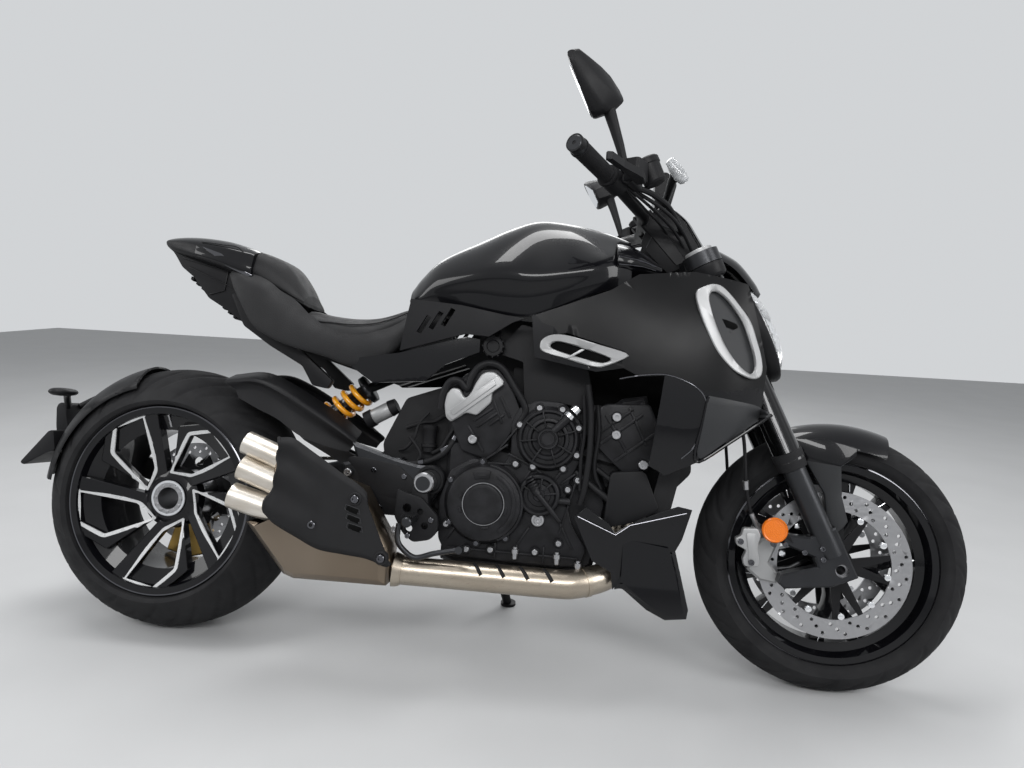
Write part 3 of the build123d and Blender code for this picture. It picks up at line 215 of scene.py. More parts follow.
varyColour(bronzeSteel, (0.17, 0.135, 0.1), (0.23, 0.19, 0.15), 2.5)
varyRough(bronzeSteel, 0.28, 0.34, 12)
roughen(bronzeSteel, 0.00003, 900, stretch=(1, 6, 6), strength=0.2)
darkChrome = newFinish("darkChrome", (0.12, 0.12, 0.13), metal=1.0, rough=0.12)
varyRough(darkChrome, 0.08, 0.18, 30)
roughen(darkChrome, 0.00003, 900, strength=0.3)
tyreRubber = newFinish("tyreRubber", (0.014, 0.014, 0.015), rough=0.78, shine=0.15)
varyColour(tyreRubber, (0.012, 0.012, 0.013), (0.019, 0.019, 0.02), 12)
varyRough(tyreRubber, 0.68, 0.86, 30)
roughen(tyreRubber, 0.0002, 900, strength=0.5)
gripRubber = newFinish("gripRubber", (0.01, 0.01, 0.011), rough=0.7, shine=0.15)
varyRough(gripRubber, 0.6, 0.8, 40)
roughen(gripRubber, 0.0002, 1300, "ShaderNodeTexVoronoi", strength=0.5)
hoseRubber = newFinish("hoseRubber", (0.007, 0.007, 0.008), rough=0.55, shine=0.2)
varyRough(hoseRubber, 0.45, 0.62, 50)
roughen(hoseRubber, 0.0001, 1500, strength=0.5)
seatHide = newFinish("seatHide", (0.012, 0.012, 0.013), rough=0.58, sheen=0.06, shine=0.18)
varyRough(seatHide, 0.5, 0.66, 26)
roughen(seatHide, 0.0005, 420, "ShaderNodeTexVoronoi", strength=0.55)
springPaint = newFinish("springYellowPaint", (0.88, 0.36, 0.01), rough=0.3, coat=0.8)
varyColour(springPaint, (0.84, 0.33, 0.008), (0.94, 0.41, 0.015), 24)
roughen(springPaint, 0.00005, 700, strength=0.3)
chainSteel = newFinish("chainSteel", (0.1, 0.095, 0.088), metal=0.9, rough=0.45)
varyRough(chainSteel, 0.36, 0.55, 60)
roughen(chainSteel, 0.0002, 600, strength=0.5)
goldMetal = newFinish("goldBrownMetal", (0.5, 0.33, 0.1), metal=0.9, rough=0.35)
varyRough(goldMetal, 0.28, 0.42, 30)
roughen(goldMetal, 0.00005, 1200, strength=0.4)
amber = newFinish("amberReflector", (0.76, 0.17, 0.004), rough=0.2, coat=0.4, shine=0.3)
roughen(amber, 0.0008, 380, "ShaderNodeTexVoronoi", strength=0.6)
redLens = newFinish("redLens", (0.45, 0.006, 0.006), rough=0.12, coat=1.0)
roughen(redLens, 0.0006, 300, "ShaderNodeTexVoronoi", strength=0.5)
glass = newFinish("clearGlass", (0.96, 0.97, 0.98), rough=0.03)
glass.node_tree.nodes["Principled BSDF"].inputs["Transmission Weight"].default_value = 0.9
glass.node_tree.nodes["Principled BSDF"].inputs["IOR"].default_value = 1.45
roughen(glass, 0.0002, 60, strength=0.2)
lampWhite = newFinish("lampStripWhite", (0.86, 0.88, 0.9), rough=0.3, coat=1.0)
roughen(lampWhite, 0.0005, 300, strength=0.4)
clearLens = newFinish("clearLampLens", (0.72, 0.74, 0.76), rough=0.1, coat=1.0)
clearLens.node_tree.nodes["Principled BSDF"].inputs["Transmission Weight"].default_value = 0.4
roughen(clearLens, 0.001, 260, "ShaderNodeTexWave", strength=0.7)
# painted shade: a near-black standing in for the shadow inside slots and openings
paintedShadeBlack = newFinish("paintedShadeBlack", (0.002, 0.002, 0.002), rough=0.8, shine=0.08)
varyRough(paintedShadeBlack, 0.7, 0.9, 40)
roughen(paintedShadeBlack, 0.0001, 900, strength=0.4)
mirrorGlass = newFinish("mirrorGlass", (0.8, 0.82, 0.85), metal=1.0, rough=0.04)
roughen(mirrorGlass, 0.00001, 80, strength=0.2)

nodeFinish = {
    "exhaust_header": warmSteel, "engine_block": engineBlack, "swingarm": darkMetal, "yokes": darkMetal,
    "fork_legs": darkMetal, "side_panels": glossBlack, "belly_pan": glossBlack, "shock_spring": springPaint,
    "front_calipers": silver, "rear_caliper": goldMetal, "rear_hub": steel, "front_axle": steel,
    "radiator": mattBlack, "drive_chain": chainSteel,
}
for nodeName, node in frame["nodes"].items():
    finish = nodeFinish.get(nodeName, satinBlack)
    for place in node.material_slots:
        place.material = finish
print("finishes ready")


# ways of making pieces, all in millimetres until settle() puts them in their place
def pickOnly(piece):
    bpy.ops.object.select_all(action="DESELECT")
    piece.select_set(True)
    bpy.context.view_layer.objects.active = piece


def openMesh(piece, action="SELECT"):
    pickOnly(piece)
    bpy.ops.object.mode_set(mode="EDIT")
    bpy.ops.mesh.select_all(action=action)


def closeMesh(piece, gap=0.001):
    openMesh(piece)
    bpy.ops.mesh.remove_doubles(threshold=gap)
    bpy.ops.mesh.normals_make_consistent(inside=False)
    bpy.ops.object.mode_set(mode="OBJECT")
    return piece


def outward(piece):
    openMesh(piece)
    bpy.ops.mesh.normals_make_consistent(inside=False)
    bpy.ops.object.mode_set(mode="OBJECT")
    return piece


def applied(piece, kind, **values):
    pickOnly(piece)
    modifier = piece.modifiers.new(kind.lower(), kind)
    for key, value in values.items():
        setattr(modifier, key, value)
    bpy.ops.object.modifier_apply(modifier=modifier.name)
    return piece


def softened(piece, width, segments=2, angle=35):
    return applied(piece, "BEVEL", width=width, segments=segments, limit_method="ANGLE",
                   angle_limit=math.radians(angle), use_clamp_overlap=True)


def roundedLoop(outline, radius, perCorner=3, perSide=2):
    # the outline's corners become short curves; every corner and side gives the same count of points
    corners = [Vector((*corner, 0)) if len(corner) == 2 else Vector(corner) for corner in outline]
    ends = []
    for index, corner in enumerate(corners):
        before, after = corners[index - 1], corners[(index + 1) % len(corners)]
        reachBack = min(radius, (before - corner).length * 0.45)
        reachOn = min(radius, (after - corner).length * 0.45)
        ends.append((corner + (before - corner).normalized() * reachBack, corner,
                     corner + (after - corner).normalized() * reachOn))
    loop = []
    for index, (start, corner, stop) in enumerate(ends):
        for step in range(perCorner + 1):
            share = step / perCorner
            loop.append(start.lerp(corner, share).lerp(corner.lerp(stop, share), share))
        following = ends[(index + 1) % len(ends)][0]
        for step in range(1, perSide + 1):
            loop.append(stop.lerp(following, step / (perSide + 1)))
    return loop


def smoothed(points, steps, closed=False):
    # a curve through all the points
    points = [Vector(point) for point in points]
    count = len(points)
    line = []
    for index in range(count if closed else count - 1):
        if closed:
            a, b, c, d = (points[(index + shift) % count] for shift in (-1, 0, 1, 2))
        else:
            b, c = points[index], points[index + 1]
            a = points[index - 1] if index else b * 2 - c
            d = points[index + 2] if index + 2 < count else c * 2 - b
        for step in range(steps):
            t = step / steps
            line.append(((b * 2) + (c - a) * t + (a * 2 - b * 5 + c * 4 - d) * t * t
                         + (b * 3 - a - c * 3 + d) * t * t * t) / 2)
    if not closed:
        line.append(points[-1].copy())
    return line


def smoothRows(rows, steps, closed=False):
    # more rows between the rows given, through each column's points
    columns = [smoothed(column, steps, closed) for column in zip(*rows)]
    return [list(row) for row in zip(*columns)]


def evenly(points, count, steps=8):
    # the curve through the points, cut into equal lengths
    line = smoothed([Vector(point) for point in points], steps)
    lengths = [0.0]
    for before, after in zip(line, line[1:]):
        lengths.append(lengths[-1] + (after - before).length)
    spots, index = [], 0
    for step in range(count + 1):
        want = lengths[-1] * step / count
        while index < len(lengths) - 2 and lengths[index + 1] < want:
            index += 1
        span = lengths[index + 1] - lengths[index] or 1
        spots.append(line[index].lerp(line[index + 1], (want - lengths[index]) / span))
    return spots


def heightOn(points, x):
    for (x1, z1), (x2, z2) in zip(points, points[1:]):
        if x <= x2:
            return z1 + (z2 - z1) * (x - x1) / (x2 - x1)
    return points[-1][1]


def skin(rows, closedAcross=False, closedAlong=False, capped=False):
    # a grid primitive laid over rows of points
    rows = [list(row) + ([row[0]] if closedAcross else []) for row in rows]
    if closedAlong:
        rows = rows + [rows[0]]
    bpy.ops.object.select_all(action="DESELECT")
    bpy.ops.mesh.primitive_grid_add(x_subdivisions=len(rows[0]) - 1, y_subdivisions=len(rows) - 1, size=1)
    piece = bpy.context.object
    for vertex, point in zip(piece.data.vertices, (point for row in rows for point in row)):
        vertex.co = point
    if closedAcross or closedAlong:
        closeMesh(piece)
    if capped:
        openMesh(piece, "DESELECT")
        bpy.ops.mesh.select_mode(type="EDGE")
        bpy.ops.mesh.select_non_manifold()
        bpy.ops.mesh.edge_face_add()
        bpy.ops.mesh.select_mode(type="VERT")
        bpy.ops.object.mode_set(mode="OBJECT")
        closeMesh(piece)
    return piece


def cutPlate(outline, low, high, bevel=1.5, segments=2, corner=0):
    # outline in X and Z, from Y low to Y high
    points = roundedLoop(outline, corner, 3, 0) if corner else [Vector((x, z, 0)) for x, z in outline]
    bpy.ops.object.select_all(action="DESELECT")
    bpy.ops.mesh.primitive_circle_add(vertices=len(points), fill_type="NGON")
    piece = bpy.context.object
    for vertex, point in zip(piece.data.vertices, points):
        vertex.co = (point.x, low, point.y)
    openMesh(piece)
    bpy.ops.mesh.extrude_region_move(TRANSFORM_OT_translate={"value": (0, high - low, 0)})
    bpy.ops.object.mode_set(mode="OBJECT")
    closeMesh(piece)
    if bevel:
        softened(piece, bevel, segments)
    return piece


def turned(profile, steps=64):
    # profile of (Y, radius), turned about Y
    bpy.ops.object.select_all(action="DESELECT")
    bpy.ops.mesh.primitive_circle_add(vertices=len(profile), fill_type="NOTHING")
    piece = bpy.context.object
    for vertex, (along, radius) in zip(piece.data.vertices, profile):
        vertex.co = (radius, along, 0)
    openMesh(piece)
    bpy.ops.mesh.spin(steps=steps, angle=math.tau, center=(0, 0, 0), axis=(0, 1, 0))
    bpy.ops.object.mode_set(mode="OBJECT")
    return closeMesh(piece)


def bentRod(points, radius, sides=6, smooth=True, steps=6):
    # a round rod through the points
    line = smoothed(points, steps) if smooth else [Vector(point) for point in points]
    curve = bpy.data.curves.new("rod", "CURVE")
    curve.dimensions = "3D"
    spline = curve.splines.new("POLY")
    spline.points.add(len(line) - 1)
    for knot, point in zip(spline.points, line):
        knot.co = (*point, 1)
    curve.bevel_depth = radius
    curve.bevel_resolution = sides
    curve.use_fill_caps = True
    piece = bpy.data.objects.new("rod", curve)
    bpy.context.scene.collection.objects.link(piece)
    pickOnly(piece)
    bpy.ops.object.convert(target="MESH")
    return closeMesh(bpy.context.object)


def ringStack(line, radii, sides=20):
    # a round body along a line of points whose radius changes
    line = [Vector(point) for point in line]
    rows = []
    way = (line[-1] - line[0]).normalized()
    across = way.orthogonal().normalized()
    other = way.cross(across)
    for point, radius in zip(line, radii):
        rows.append([point + across * radius * math.cos(math.tau * i / sides)
                     + other * radius * math.sin(math.tau * i / sides) for i in range(sides)])
    return skin(rows, closedAcross=True, capped=True)


def standing(start, stop):
    # place whose Y axis runs from start to stop
    start, way = Vector(start), (Vector(stop) - Vector(start)).normalized()
    side = way.orthogonal().normalized()
    return placeFrom(start, side, way, side.cross(way))


def movedBy(piece, matrix):
    piece.data.transform(matrix)
    piece.data.update()
    return piece


def copied(piece, matrix):
    twin = piece.copy()
    twin.data = piece.data.copy()
    bpy.context.scene.collection.objects.link(twin)
    return movedBy(twin, matrix)


def joined(pieces):
    bpy.ops.object.select_all(action="DESELECT")
    for piece in pieces:
        piece.select_set(True)
    bpy.context.view_layer.objects.active = pieces[0]
    bpy.ops.object.join()
    return bpy.context.object


def around(piece, count, start=0.0, axis="Y"):
    # the piece and its copies in a ring about an axis
    twins = [copied(piece, Matrix.Rotation(math.radians(start) + math.tau * i / count, 4,
                                           axis)) for i in range(count)]
    bpy.data.objects.remove(piece)
    return joined(twins)


def mirrored(piece):
    # the piece with its like on the other side
    twin = copied(piece, Matrix.Diagonal((1, -1, 1, 1)))
    pickOnly(twin)
    bpy.ops.object.mode_set(mode="EDIT")
    bpy.ops.mesh.select_all(action="SELECT")
    bpy.ops.mesh.flip_normals()
    bpy.ops.object.mode_set(mode="OBJECT")
    return joined([piece, twin])


def cutBy(piece, cutter, operation="DIFFERENCE"):
    applied(piece, "BOOLEAN", object=cutter, operation=operation, solver="EXACT")
    bpy.data.objects.remove(cutter)
    return piece


def painted(piece, *finishes, rule=None):
    # rule gives, from a face's middle and normal, which of the finishes it takes
    piece.data.materials.clear()
    for finish in finishes:
        piece.data.materials.append(finish)
    for face in piece.data.polygons:
        face.material_index = rule(face.center, face.normal) if rule else 0
    return piece


def settle(piece, name, place, body, replaced=(), smoothAngle=32):
    piece.name = name
    piece.data.name = name
    movedBy(piece, place @ Matrix.Scale(0.001, 4))
    pickOnly(piece)
    bpy.ops.object.shade_smooth_by_angle(angle=math.radians(smoothAngle))
    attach(piece, body)
    if replaced:
        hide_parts(*replaced)
    return piece


def onBike(piece, name, replaced=(), smoothAngle=32):
    return settle(piece, name, bikePlace, "chassis", replaced, smoothAngle)


def onFork(piece, name, replaced=(), smoothAngle=32):
    return settle(piece, name, forkPlace, "steering_body", replaced, smoothAngle)


def castCopy(nodeName, place):
    # a merged copy of a CAD node's mesh, back in millimetres in its own upright place
    node = frame["nodes"][nodeName]
    piece = bpy.data.objects.new(nodeName + "Body", node.data.copy())
    bpy.context.scene.collection.objects.link(piece)
    movedBy(piece, (place @ Matrix.Scale(0.001, 4)).inverted())
    openMesh(piece)
    bpy.ops.mesh.remove_doubles(threshold=0.01)
    bpy.ops.object.mode_set(mode="OBJECT")
    return piece


bolt = {"head": 7, "height": 5, "socket": 3.4, "depth": 3}


def boltHead(radius=7.0):
    # socket screw at the origin, its head standing along -Y
    scale = radius / bolt["head"]
    outer, socket = bolt["head"] * scale, bolt["socket"] * scale
    height, depth = bolt["height"] * scale, bolt["depth"] * scale
    rim = 0.8 * scale
    head = turned([(2, 0.01), (2, outer), (-height + rim, outer), (-height, outer - rim), (-height, socket),
                   (depth - height, socket), (depth - height, 0.01)], steps=18)
    return head


def boltsAt(places, radius=7.0, direction=(0, -1, 0)):
    model = boltHead(radius)
    turn = Vector((0, -1, 0)).rotation_difference(Vector(direction)).to_matrix().to_4x4()
    twins = [copied(model, Matrix.Translation(Vector(place)) @ turn) for place in places]
    bpy.data.objects.remove(model)
    return joined(twins)


bothSides = ((-1, "Right"), (1, "Left"))
print("helpers ready")


# tyres
rearTyre = {"node": "rear_tyre", "body": "rear_wheel_body", "radius": 324, "half": 119.5, "crown": 128, "rim": 101,
            "bead": 229, "steps": 720, "across": 44, "repeats": 15, "sweep": 0.5, "groove": 5.2, "depth": 3.4}
frontTyre = {"node": "front_tyre", "body": "front_wheel_body", "radius": 300, "half": 59.5, "crown": 62, "rim": 44,
             "bead": 229, "steps": 640, "across": 30, "repeats": 16, "sweep": 0.34, "groove": 4.6, "depth": 3.0}


def grooveAt(tyre, turn, share):
    # depth of the groove at a turn of the wheel and a share of the half width: long curved cuts, two to a repeat
    deepest = 0
    pitch = math.tau / tyre["repeats"]
    side = 1 if share > 0 else -1
    reach = abs(share)
    for lead, start, stop, curve in ((0.0, 0.05, 0.93, 1.0), (0.52, 0.34, 1.02, 0.85)):
        if not start <= reach <= stop:
            continue
        way = tyre["sweep"] * curve * (reach ** 1.5) + lead * pitch + (0.5 * pitch if side > 0 else 0)
        gap = (turn - way + pitch / 2) % pitch - pitch / 2
        slope = tyre["sweep"] * curve * 1.5 * math.sqrt(reach) * tyre["radius"] / tyre["half"]
        distance = abs(gap) * tyre["radius"] / math.sqrt(1 + slope * slope)
        taper = min(1, (reach - start) / 0.1, (stop - reach) / 0.1)
        width = tyre["groove"] * (0.45 + 0.55 * taper)
        deepest = max(deepest, tyre["depth"] * min(1, max(0, 1.5 - 1.5 * distance / width)) * taper)
    return deepest


def makeTyre(tyre, place):
    half, crown, radius = tyre["half"], tyre["crown"], tyre["radius"]
    profile = []
    limit = math.asin(half / crown)
    for step in range(tyre["across"] + 1):
        lean = -limit + 2 * limit * step / tyre["across"]
        profile.append((crown * math.sin(lean), radius - crown + crown * math.cos(lean)))
    shoulder = profile[-1][1]
    wall = [(half - 1.5, shoulder - 3), (half - 2.5, shoulder * 0.6 + tyre["bead"] * 0.4),
            (half - 6, shoulder * 0.3 + tyre["bead"] * 0.7), (tyre["rim"] + 3.5, tyre["bead"] + 3.5),
            (tyre["rim"] + 2.5, tyre["bead"] - 1), (tyre["rim"], tyre["bead"] - 3)]
    full = profile + wall + [(0, tyre["bead"] + 2)] + [(-along, high) for along, high in reversed(wall)]
    tyreMesh = turned(full, tyre["steps"])
    for vertex in tyreMesh.data.vertices:
        along, out = vertex.co.y, math.hypot(vertex.co.x, vertex.co.z)
        rise = out - (radius - crown)
        if abs(math.hypot(along, rise) - crown) > 0.5 or rise < 0:
            continue
        depth = grooveAt(tyre, math.atan2(vertex.co.z, vertex.co.x), along / half)
        if depth:
            newRise = rise * (1 - depth / crown)
            scale = (radius - crown + newRise) / out
            vertex.co = (vertex.co.x * scale, along * (1 - depth / crown), vertex.co.z * scale)
    painted(tyreMesh, tyreRubber)
    return settle(tyreMesh, tyre["node"].replace("_t", "T") + "Tread", place, tyre["body"],
                  [tyre["node"]], 40)


makeTyre(rearTyre, rearPlace)
makeTyre(frontTyre, frontPlace)
print("tyres ready")

# rear wheel: five kite-shaped frames, each with a bright machined edge round its window
rearWheel = {"windows": [(66, 90), (84, 49), (206, 35), (212, 54), (170, 70)],
             "outside": [(40, 96), (62, 31), (216, 24), (218, 62), (184, 81)],
             "dish": ((40, -53), (66, -55), (215, -103)), "thick": 26, "edge": 9.2, "chamfer": 1.4, "arms": 5,
             "rim": [(-107, 226), (-104.5, 228.5), (-101.5, 228.5), (-100, 222), (-96, 217), (-84, 212), (-68, 178),
                     (66, 178), (82, 212), (96, 217), (100, 222), (101.5, 228.5), (104.5, 228.5), (107, 226),
                     (107, 214), (88, 205), (72, 170), (-72, 170), (-88, 205), (-107, 209.5)],
             "lip": [(-107.5, 227), (-106, 230), (-103.5, 230), (-103.5, 226), (-107, 224.5)]}


def polarPoint(radius, angle):
    return (radius * math.cos(math.radians(angle)), radius * math.sin(math.radians(angle)))


def dishAt(wheel, radius):
    places = wheel["dish"]
    for (low, lowY), (high, highY) in zip(places, places[1:]):
        if radius <= high:
            share = max(0, (radius - low) / (high - low))
            return lowY + (highY - lowY) * share
    return places[-1][1]


def makeRearWheel(wheel):
    inner = roundedLoop([polarPoint(*corner) for corner in wheel["windows"]], 6, 5, 10)
    outer = roundedLoop([polarPoint(*corner) for corner in wheel["outside"]], 5, 5, 10)
    middle = sum(inner, Vector()) / len(inner)

    def ring(loop, drop, spread=0.0):
        row = []
        for point in loop:
            away = (point - middle).normalized() * spread
            spot = point + away
            row.append(Vector((spot.x, dishAt(wheel, spot.length) + drop, spot.y)))
        return row

    rows = [ring(outer, wheel["thick"]), ring(outer, 1.5), ring(outer, 0, -2), ring(inner, 0, wheel["edge"] + 0.6),
            ring(inner, -0.8, wheel["edge"]), ring(inner, -0.8, 0.6), ring(inner, wheel["chamfer"]),
            ring(inner, wheel["thick"] * 0.75, 1), ring(inner, wheel["thick"], 3)]
    arm = skin(rows, closedAcross=True, closedAlong=True)
    painted(arm, glossBlack, windowEdge)
    # the machined band is the row of faces next to the window
    for face in arm.data.polygons:
        spot = Vector((face.center.x, face.center.z, 0))
        near = min((spot - point).length for point in inner)
        drop = face.center.y - dishAt(wheel, spot.length)
        if near < wheel["edge"] and drop < wheel["chamfer"] and (spot - middle).length > 20:
            face.material_index = 1
    arms = around(arm, wheel["arms"])
    rim = painted(turned(wheel["rim"], 144), glossBlack)
    lip = painted(turned(wheel["lip"], 144), darkChrome)
    hub = painted(turned([(-60, 46), (-60, 52), (-56, 58), (-50, 72), (-30, 78), (-18, 60), (-18, 46)], 96),
                  glossBlack)
    valve = painted(movedBy(turned([(-4, 0.01), (-4, 3), (20, 3), (20, 4.5), (34, 4.5), (34, 0.01)], 16),
                            Matrix.Translation((0, -92, 208)) @ Matrix.Rotation(math.radians(-58), 4, "X")), steel)
    whole = joined([arms, rim, lip, hub, valve])
    return settle(whole, "rearWheelArms", rearPlace, "rear_wheel_body", ["rear_wheel"])


makeRearWheel(rearWheel)

hubNut = {"ring": [(-63, 27.5), (-63, 34), (-60, 35), (-60, 37), (-63.5, 38), (-63.5, 43), (-61.5, 44), (-52, 44.5),
                   (-52, 27.5)], "notches": 12}
nutRing = turned(hubNut["ring"], 72)
nutRing = painted(nutRing, machined, satinBlack, rule=lambda middle,
                  normal: 1 if math.hypot(middle.x, middle.z) < 28 else 0)
tooth = cutPlate([(-4, 29), (4, 29), (4.5, 36), (-4.5, 36)], -64.5, -60, 0.6)
settle(joined([nutRing, painted(around(tooth, hubNut["notches"]), steel)]), "hubNut", rearPlace, "rear_wheel_body")
print("rear wheel ready")

# front wheel: its forked arms with bright brackets at the rim
frontWheel = {"rim": [(-49.5, 226), (-47.5, 229), (-45, 229), (-43.5, 222), (-40, 217), (-30, 212), (-22, 196),
                      (22, 196), (30, 212), (40, 217), (43.5, 222), (45, 229), (47.5, 229), (49.5, 226),
                      (49, 212), (30, 204), (24, 186), (-24, 186), (-30, 204), (-49, 212)],
              "lip": [(-50, 227), (-48.5, 230), (-46.5, 230), (-46.5, 226)],
              "arm": [(33, -14), (80, -12), (104, -20), (150, -52), (186, -64), (200, -40), (192, -30), (150, -22),
                      (112, 0), (150, 22), (192, 30), (200, 40), (186, 64), (150, 52), (104, 20), (80, 12),
                      (33, 14)],
              "start": -80, "count": 5}


def makeFrontWheel(wheel):
    arm = painted(cutPlate(wheel["arm"], -15, 15, 3.5, 3, 6), glossBlack)
    arms = movedBy(around(arm, wheel["count"]), Matrix.Rotation(math.radians(-wheel["start"]), 4, "Y"))
    arc = [Vector((x, -17.5, z)) for x, z in [polarPoint(166, -12)] + [polarPoint(191, a) for a in range(-14, 15,
                                                                                                         2)]
           + [polarPoint(166, 12)]]
    bracket = painted(bentRod(arc, 1.7, 3, smooth=False), machined)
    brackets = movedBy(around(bracket, wheel["count"]), Matrix.Rotation(math.radians(-wheel["start"]), 4, "Y"))
    rim = painted(turned(wheel["rim"], 144), glossBlack)
    lip = painted(turned(wheel["lip"], 144), darkChrome)
    hub = painted(turned([(-58, 15), (-58, 30), (-54, 34), (-16, 30), (16, 30), (54, 34), (58, 30), (58, 15)], 72),
                  glossBlack)
    whole = joined([arms, brackets, rim, lip, hub])
    return settle(whole, "frontWheelArms", frontPlace, "front_wheel_body", ["front_wheel"])


makeFrontWheel(frontWheel)
print("front wheel ready")

# brake discs: drilled steel rings on black lattice carriers, held by bright buttons
frontDisc = {"buttons": 10, "buttonRadius": 114, "ring": 121.5}


def discPiece(nodeName, place, edge):
    disc = castCopy(nodeName, place)
    return painted(disc, steel, satinBlack, rule=lambda middle, normal: 1 if math.hypot(middle.x,
                                                                                        middle.z) < edge else 0)


frontDiscs = discPiece("front_discs", frontPlace, frontDisc["ring"])
settle(frontDiscs, "frontDiscRings", frontPlace, "front_wheel_body", ["front_discs"])
rearDisc = discPiece("rear_disc", rearPlace, 96)
settle(rearDisc, "rearDiscRing", rearPlace, "rear_wheel_body", ["rear_disc"])
buttonProfile = [(-70.5, 0.01), (-70.5, 4), (-69.5, 7), (-62, 7), (-62, 0.01)]
button = movedBy(turned(buttonProfile, 20), Matrix.Translation((frontDisc["buttonRadius"], 0, 0)))
buttons = around(button, frontDisc["buttons"], 8)
settle(painted(mirrored(buttons), machined), "discButtons", frontPlace, "front_wheel_body")
print("discs ready")

# fuel tank: half sections from the top middle down to the lower edge, mirrored
tank = {"sections": {
    574: [(0, 884), (20, 883), (38, 876), (52, 864), (56, 852), (52, 843)],
    600: [(0, 916), (40, 911), (66, 894), (82, 868), (86, 850), (78, 834)],
    650: [(0, 962), (54, 955), (92, 930), (117, 890), (113, 858), (104, 830)],
    742: [(0, 1004), (68, 997), (122, 962), (160, 902), (150, 862), (142, 824)],
    813: [(0, 1036), (76, 1029), (140, 986), (184, 906), (168, 858), (158, 812)],
    880: [(0, 1056), (82, 1048), (150, 1000), (196, 902), (182, 856), (172, 808)],
    960: [(0, 1051), (84, 1042), (152, 996), (203, 914), (196, 874), (186, 838)],
    1040: [(0, 1037), (78, 1027), (136, 984), (184, 936), (188, 902), (180, 872)],
    1098: [(0, 1024), (62, 1012), (106, 976), (144, 944), (148, 920), (142, 886)],
}, "stepsAlong": 8, "stepsAcross": 6}


def makeTank(settings):
    rows = []
    for x, half in settings["sections"].items():
        right = [Vector((x, -y, z)) for y, z in half]
        left = [Vector((x, y, z)) for y, z in half[1:]]
        rows.append(smoothed(list(reversed(right)) + left, settings["stepsAcross"]))
    body = skin(smoothRows(rows, settings["stepsAlong"]), capped=True)
    outward(body)
    return onBike(painted(softened(body, 4, 3, 60), glossBlack), "tankBody",
                  ["fuel_tank"], 50)


makeTank(tank)
print("tank ready")

# rider's seat: swollen like cloth over foam, then seams
seat = {"sections": {
    314: [(0, 818), (30, 815), (56, 800), (66, 778), (60, 752), (30, 746), (0, 745)],
    350: [(0, 806), (48, 803), (88, 788), (106, 762), (100, 738), (50, 733), (0, 733)],
    400: [(0, 796), (58, 795), (106, 782), (126, 756), (120, 728), (60, 721), (0, 720)],
    450: [(0, 792), (60, 792), (112, 778), (131, 752), (126, 722), (62, 716), (0, 715)],
    500: [(0, 797), (56, 797), (102, 784), (124, 760), (118, 732), (58, 726), (0, 725)],
    540: [(0, 813), (48, 811), (84, 800), (104, 782), (98, 752), (50, 746), (0, 745)],
    574: [(0, 832), (38, 830), (62, 820), (78, 806), (74, 784), (40, 778), (0, 776)],
    594: [(0, 842), (30, 840), (48, 832), (60, 822), (58, 808), (30, 803), (0, 802)],
}, "voxel": 5, "pressure": 3.2, "cap": 4.0, "frames": 20}


def sectionRows(sections, steps, stepsAlong):
    rows = []
    for x, half in sections.items():
        right = [Vector((x, -y, z)) for y, z in half]
        left = [Vector((x, y, z)) for y, z in reversed(half[1:-1])]
        rows.append(smoothed(right + left, steps, closed=True))
    return smoothRows(rows, stepsAlong)


def swollen(piece, settings):
    # the piece is already in its place, in metres
    rest = piece.copy()
    rest.data = piece.data.copy()
    cloth = piece.modifiers.new("cloth", "CLOTH")
    cloth.settings.use_pressure = True
    cloth.settings.uniform_pressure_force = settings["pressure"]
    cloth.settings.effector_weights.gravity = 0
    cloth.settings.quality = 5
    cloth.point_cache.frame_start, cloth.point_cache.frame_end = 1, settings["frames"]
    for step in range(1, settings["frames"] + 1):
        bpy.context.scene.frame_set(step)
    pickOnly(piece)
    bpy.ops.object.modifier_apply(modifier=cloth.name)
    bpy.context.scene.frame_set(1)
    limit = settings["cap"] / 1000
    for vertex, before in zip(piece.data.vertices, rest.data.vertices):
        shift = vertex.co - before.co
        if shift.length > limit:
            vertex.co = before.co + shift.normalized() * limit
    bpy.data.objects.remove(rest)
    return piece


def makeSeat(settings):
    pad = skin(sectionRows(settings["sections"], 4, 6), closedAcross=True, capped=True)
    applied(pad, "REMESH", mode="VOXEL", voxel_size=settings["voxel"])
    applied(pad, "SMOOTH", factor=0.5, iterations=3)
    painted(pad, seatHide)
    onBike(pad, "riderSeatPad", ["rider_seat"], 60)
    swollen(pad, settings)
    applied(pad, "SUBSURF", levels=1, render_levels=1)
    return pad


makeSeat(seat)
seatSeam = {"radius": 1.6, "line": [(330, 84, 790), (360, 97, 781), (400, 109, 778), (450, 115, 775),
                                    (500, 105, 781),
                                    (540, 87, 797), (574, 64, 818)]}
seams = [painted(bentRod([(x, side * y, z) for x, y, z in seatSeam["line"]], seatSeam["radius"], 3), mattBlack)
         for side in (1, -1)]
onBike(joined(seams), "seatSeams")
print("seat ready")

# headlight: dark housing, bright bowl, clear dome with a ribbed edge
headlight = {"middle": 873, "sides": 64,
             "housing": [(34, 52, 82), (52, 78, 112), (74, 91, 125), (92, 95, 129), (99, 93, 127), (101, 90, 124),
                         (99, 86, 119), (90, 82, 115)],
             "bowl": [(86, 83, 116), (96, 82, 115), (97, 74, 106), (84, 62, 92), (70, 40, 62), (64, 8, 12)],
             "dome": [(93, 84, 118), (102, 83, 117), (112, 76, 108), (123, 62, 88), (131, 42, 60), (135, 18, 26)],
             "ribs": 44, "ribOuter": 0.985, "ribInner": 0.87}


def ovalRow(away, half, tall, middle, sides):
    return [Vector((away, half * math.cos(math.tau * i / sides), middle + tall * math.sin(math.tau * i / sides)))
            for i in range(sides)]


def ovalSkin(stations, settings, capped=False):
    return skin([ovalRow(*station, settings["middle"], settings["sides"]) for station in stations],
                closedAcross=True, capped=capped)


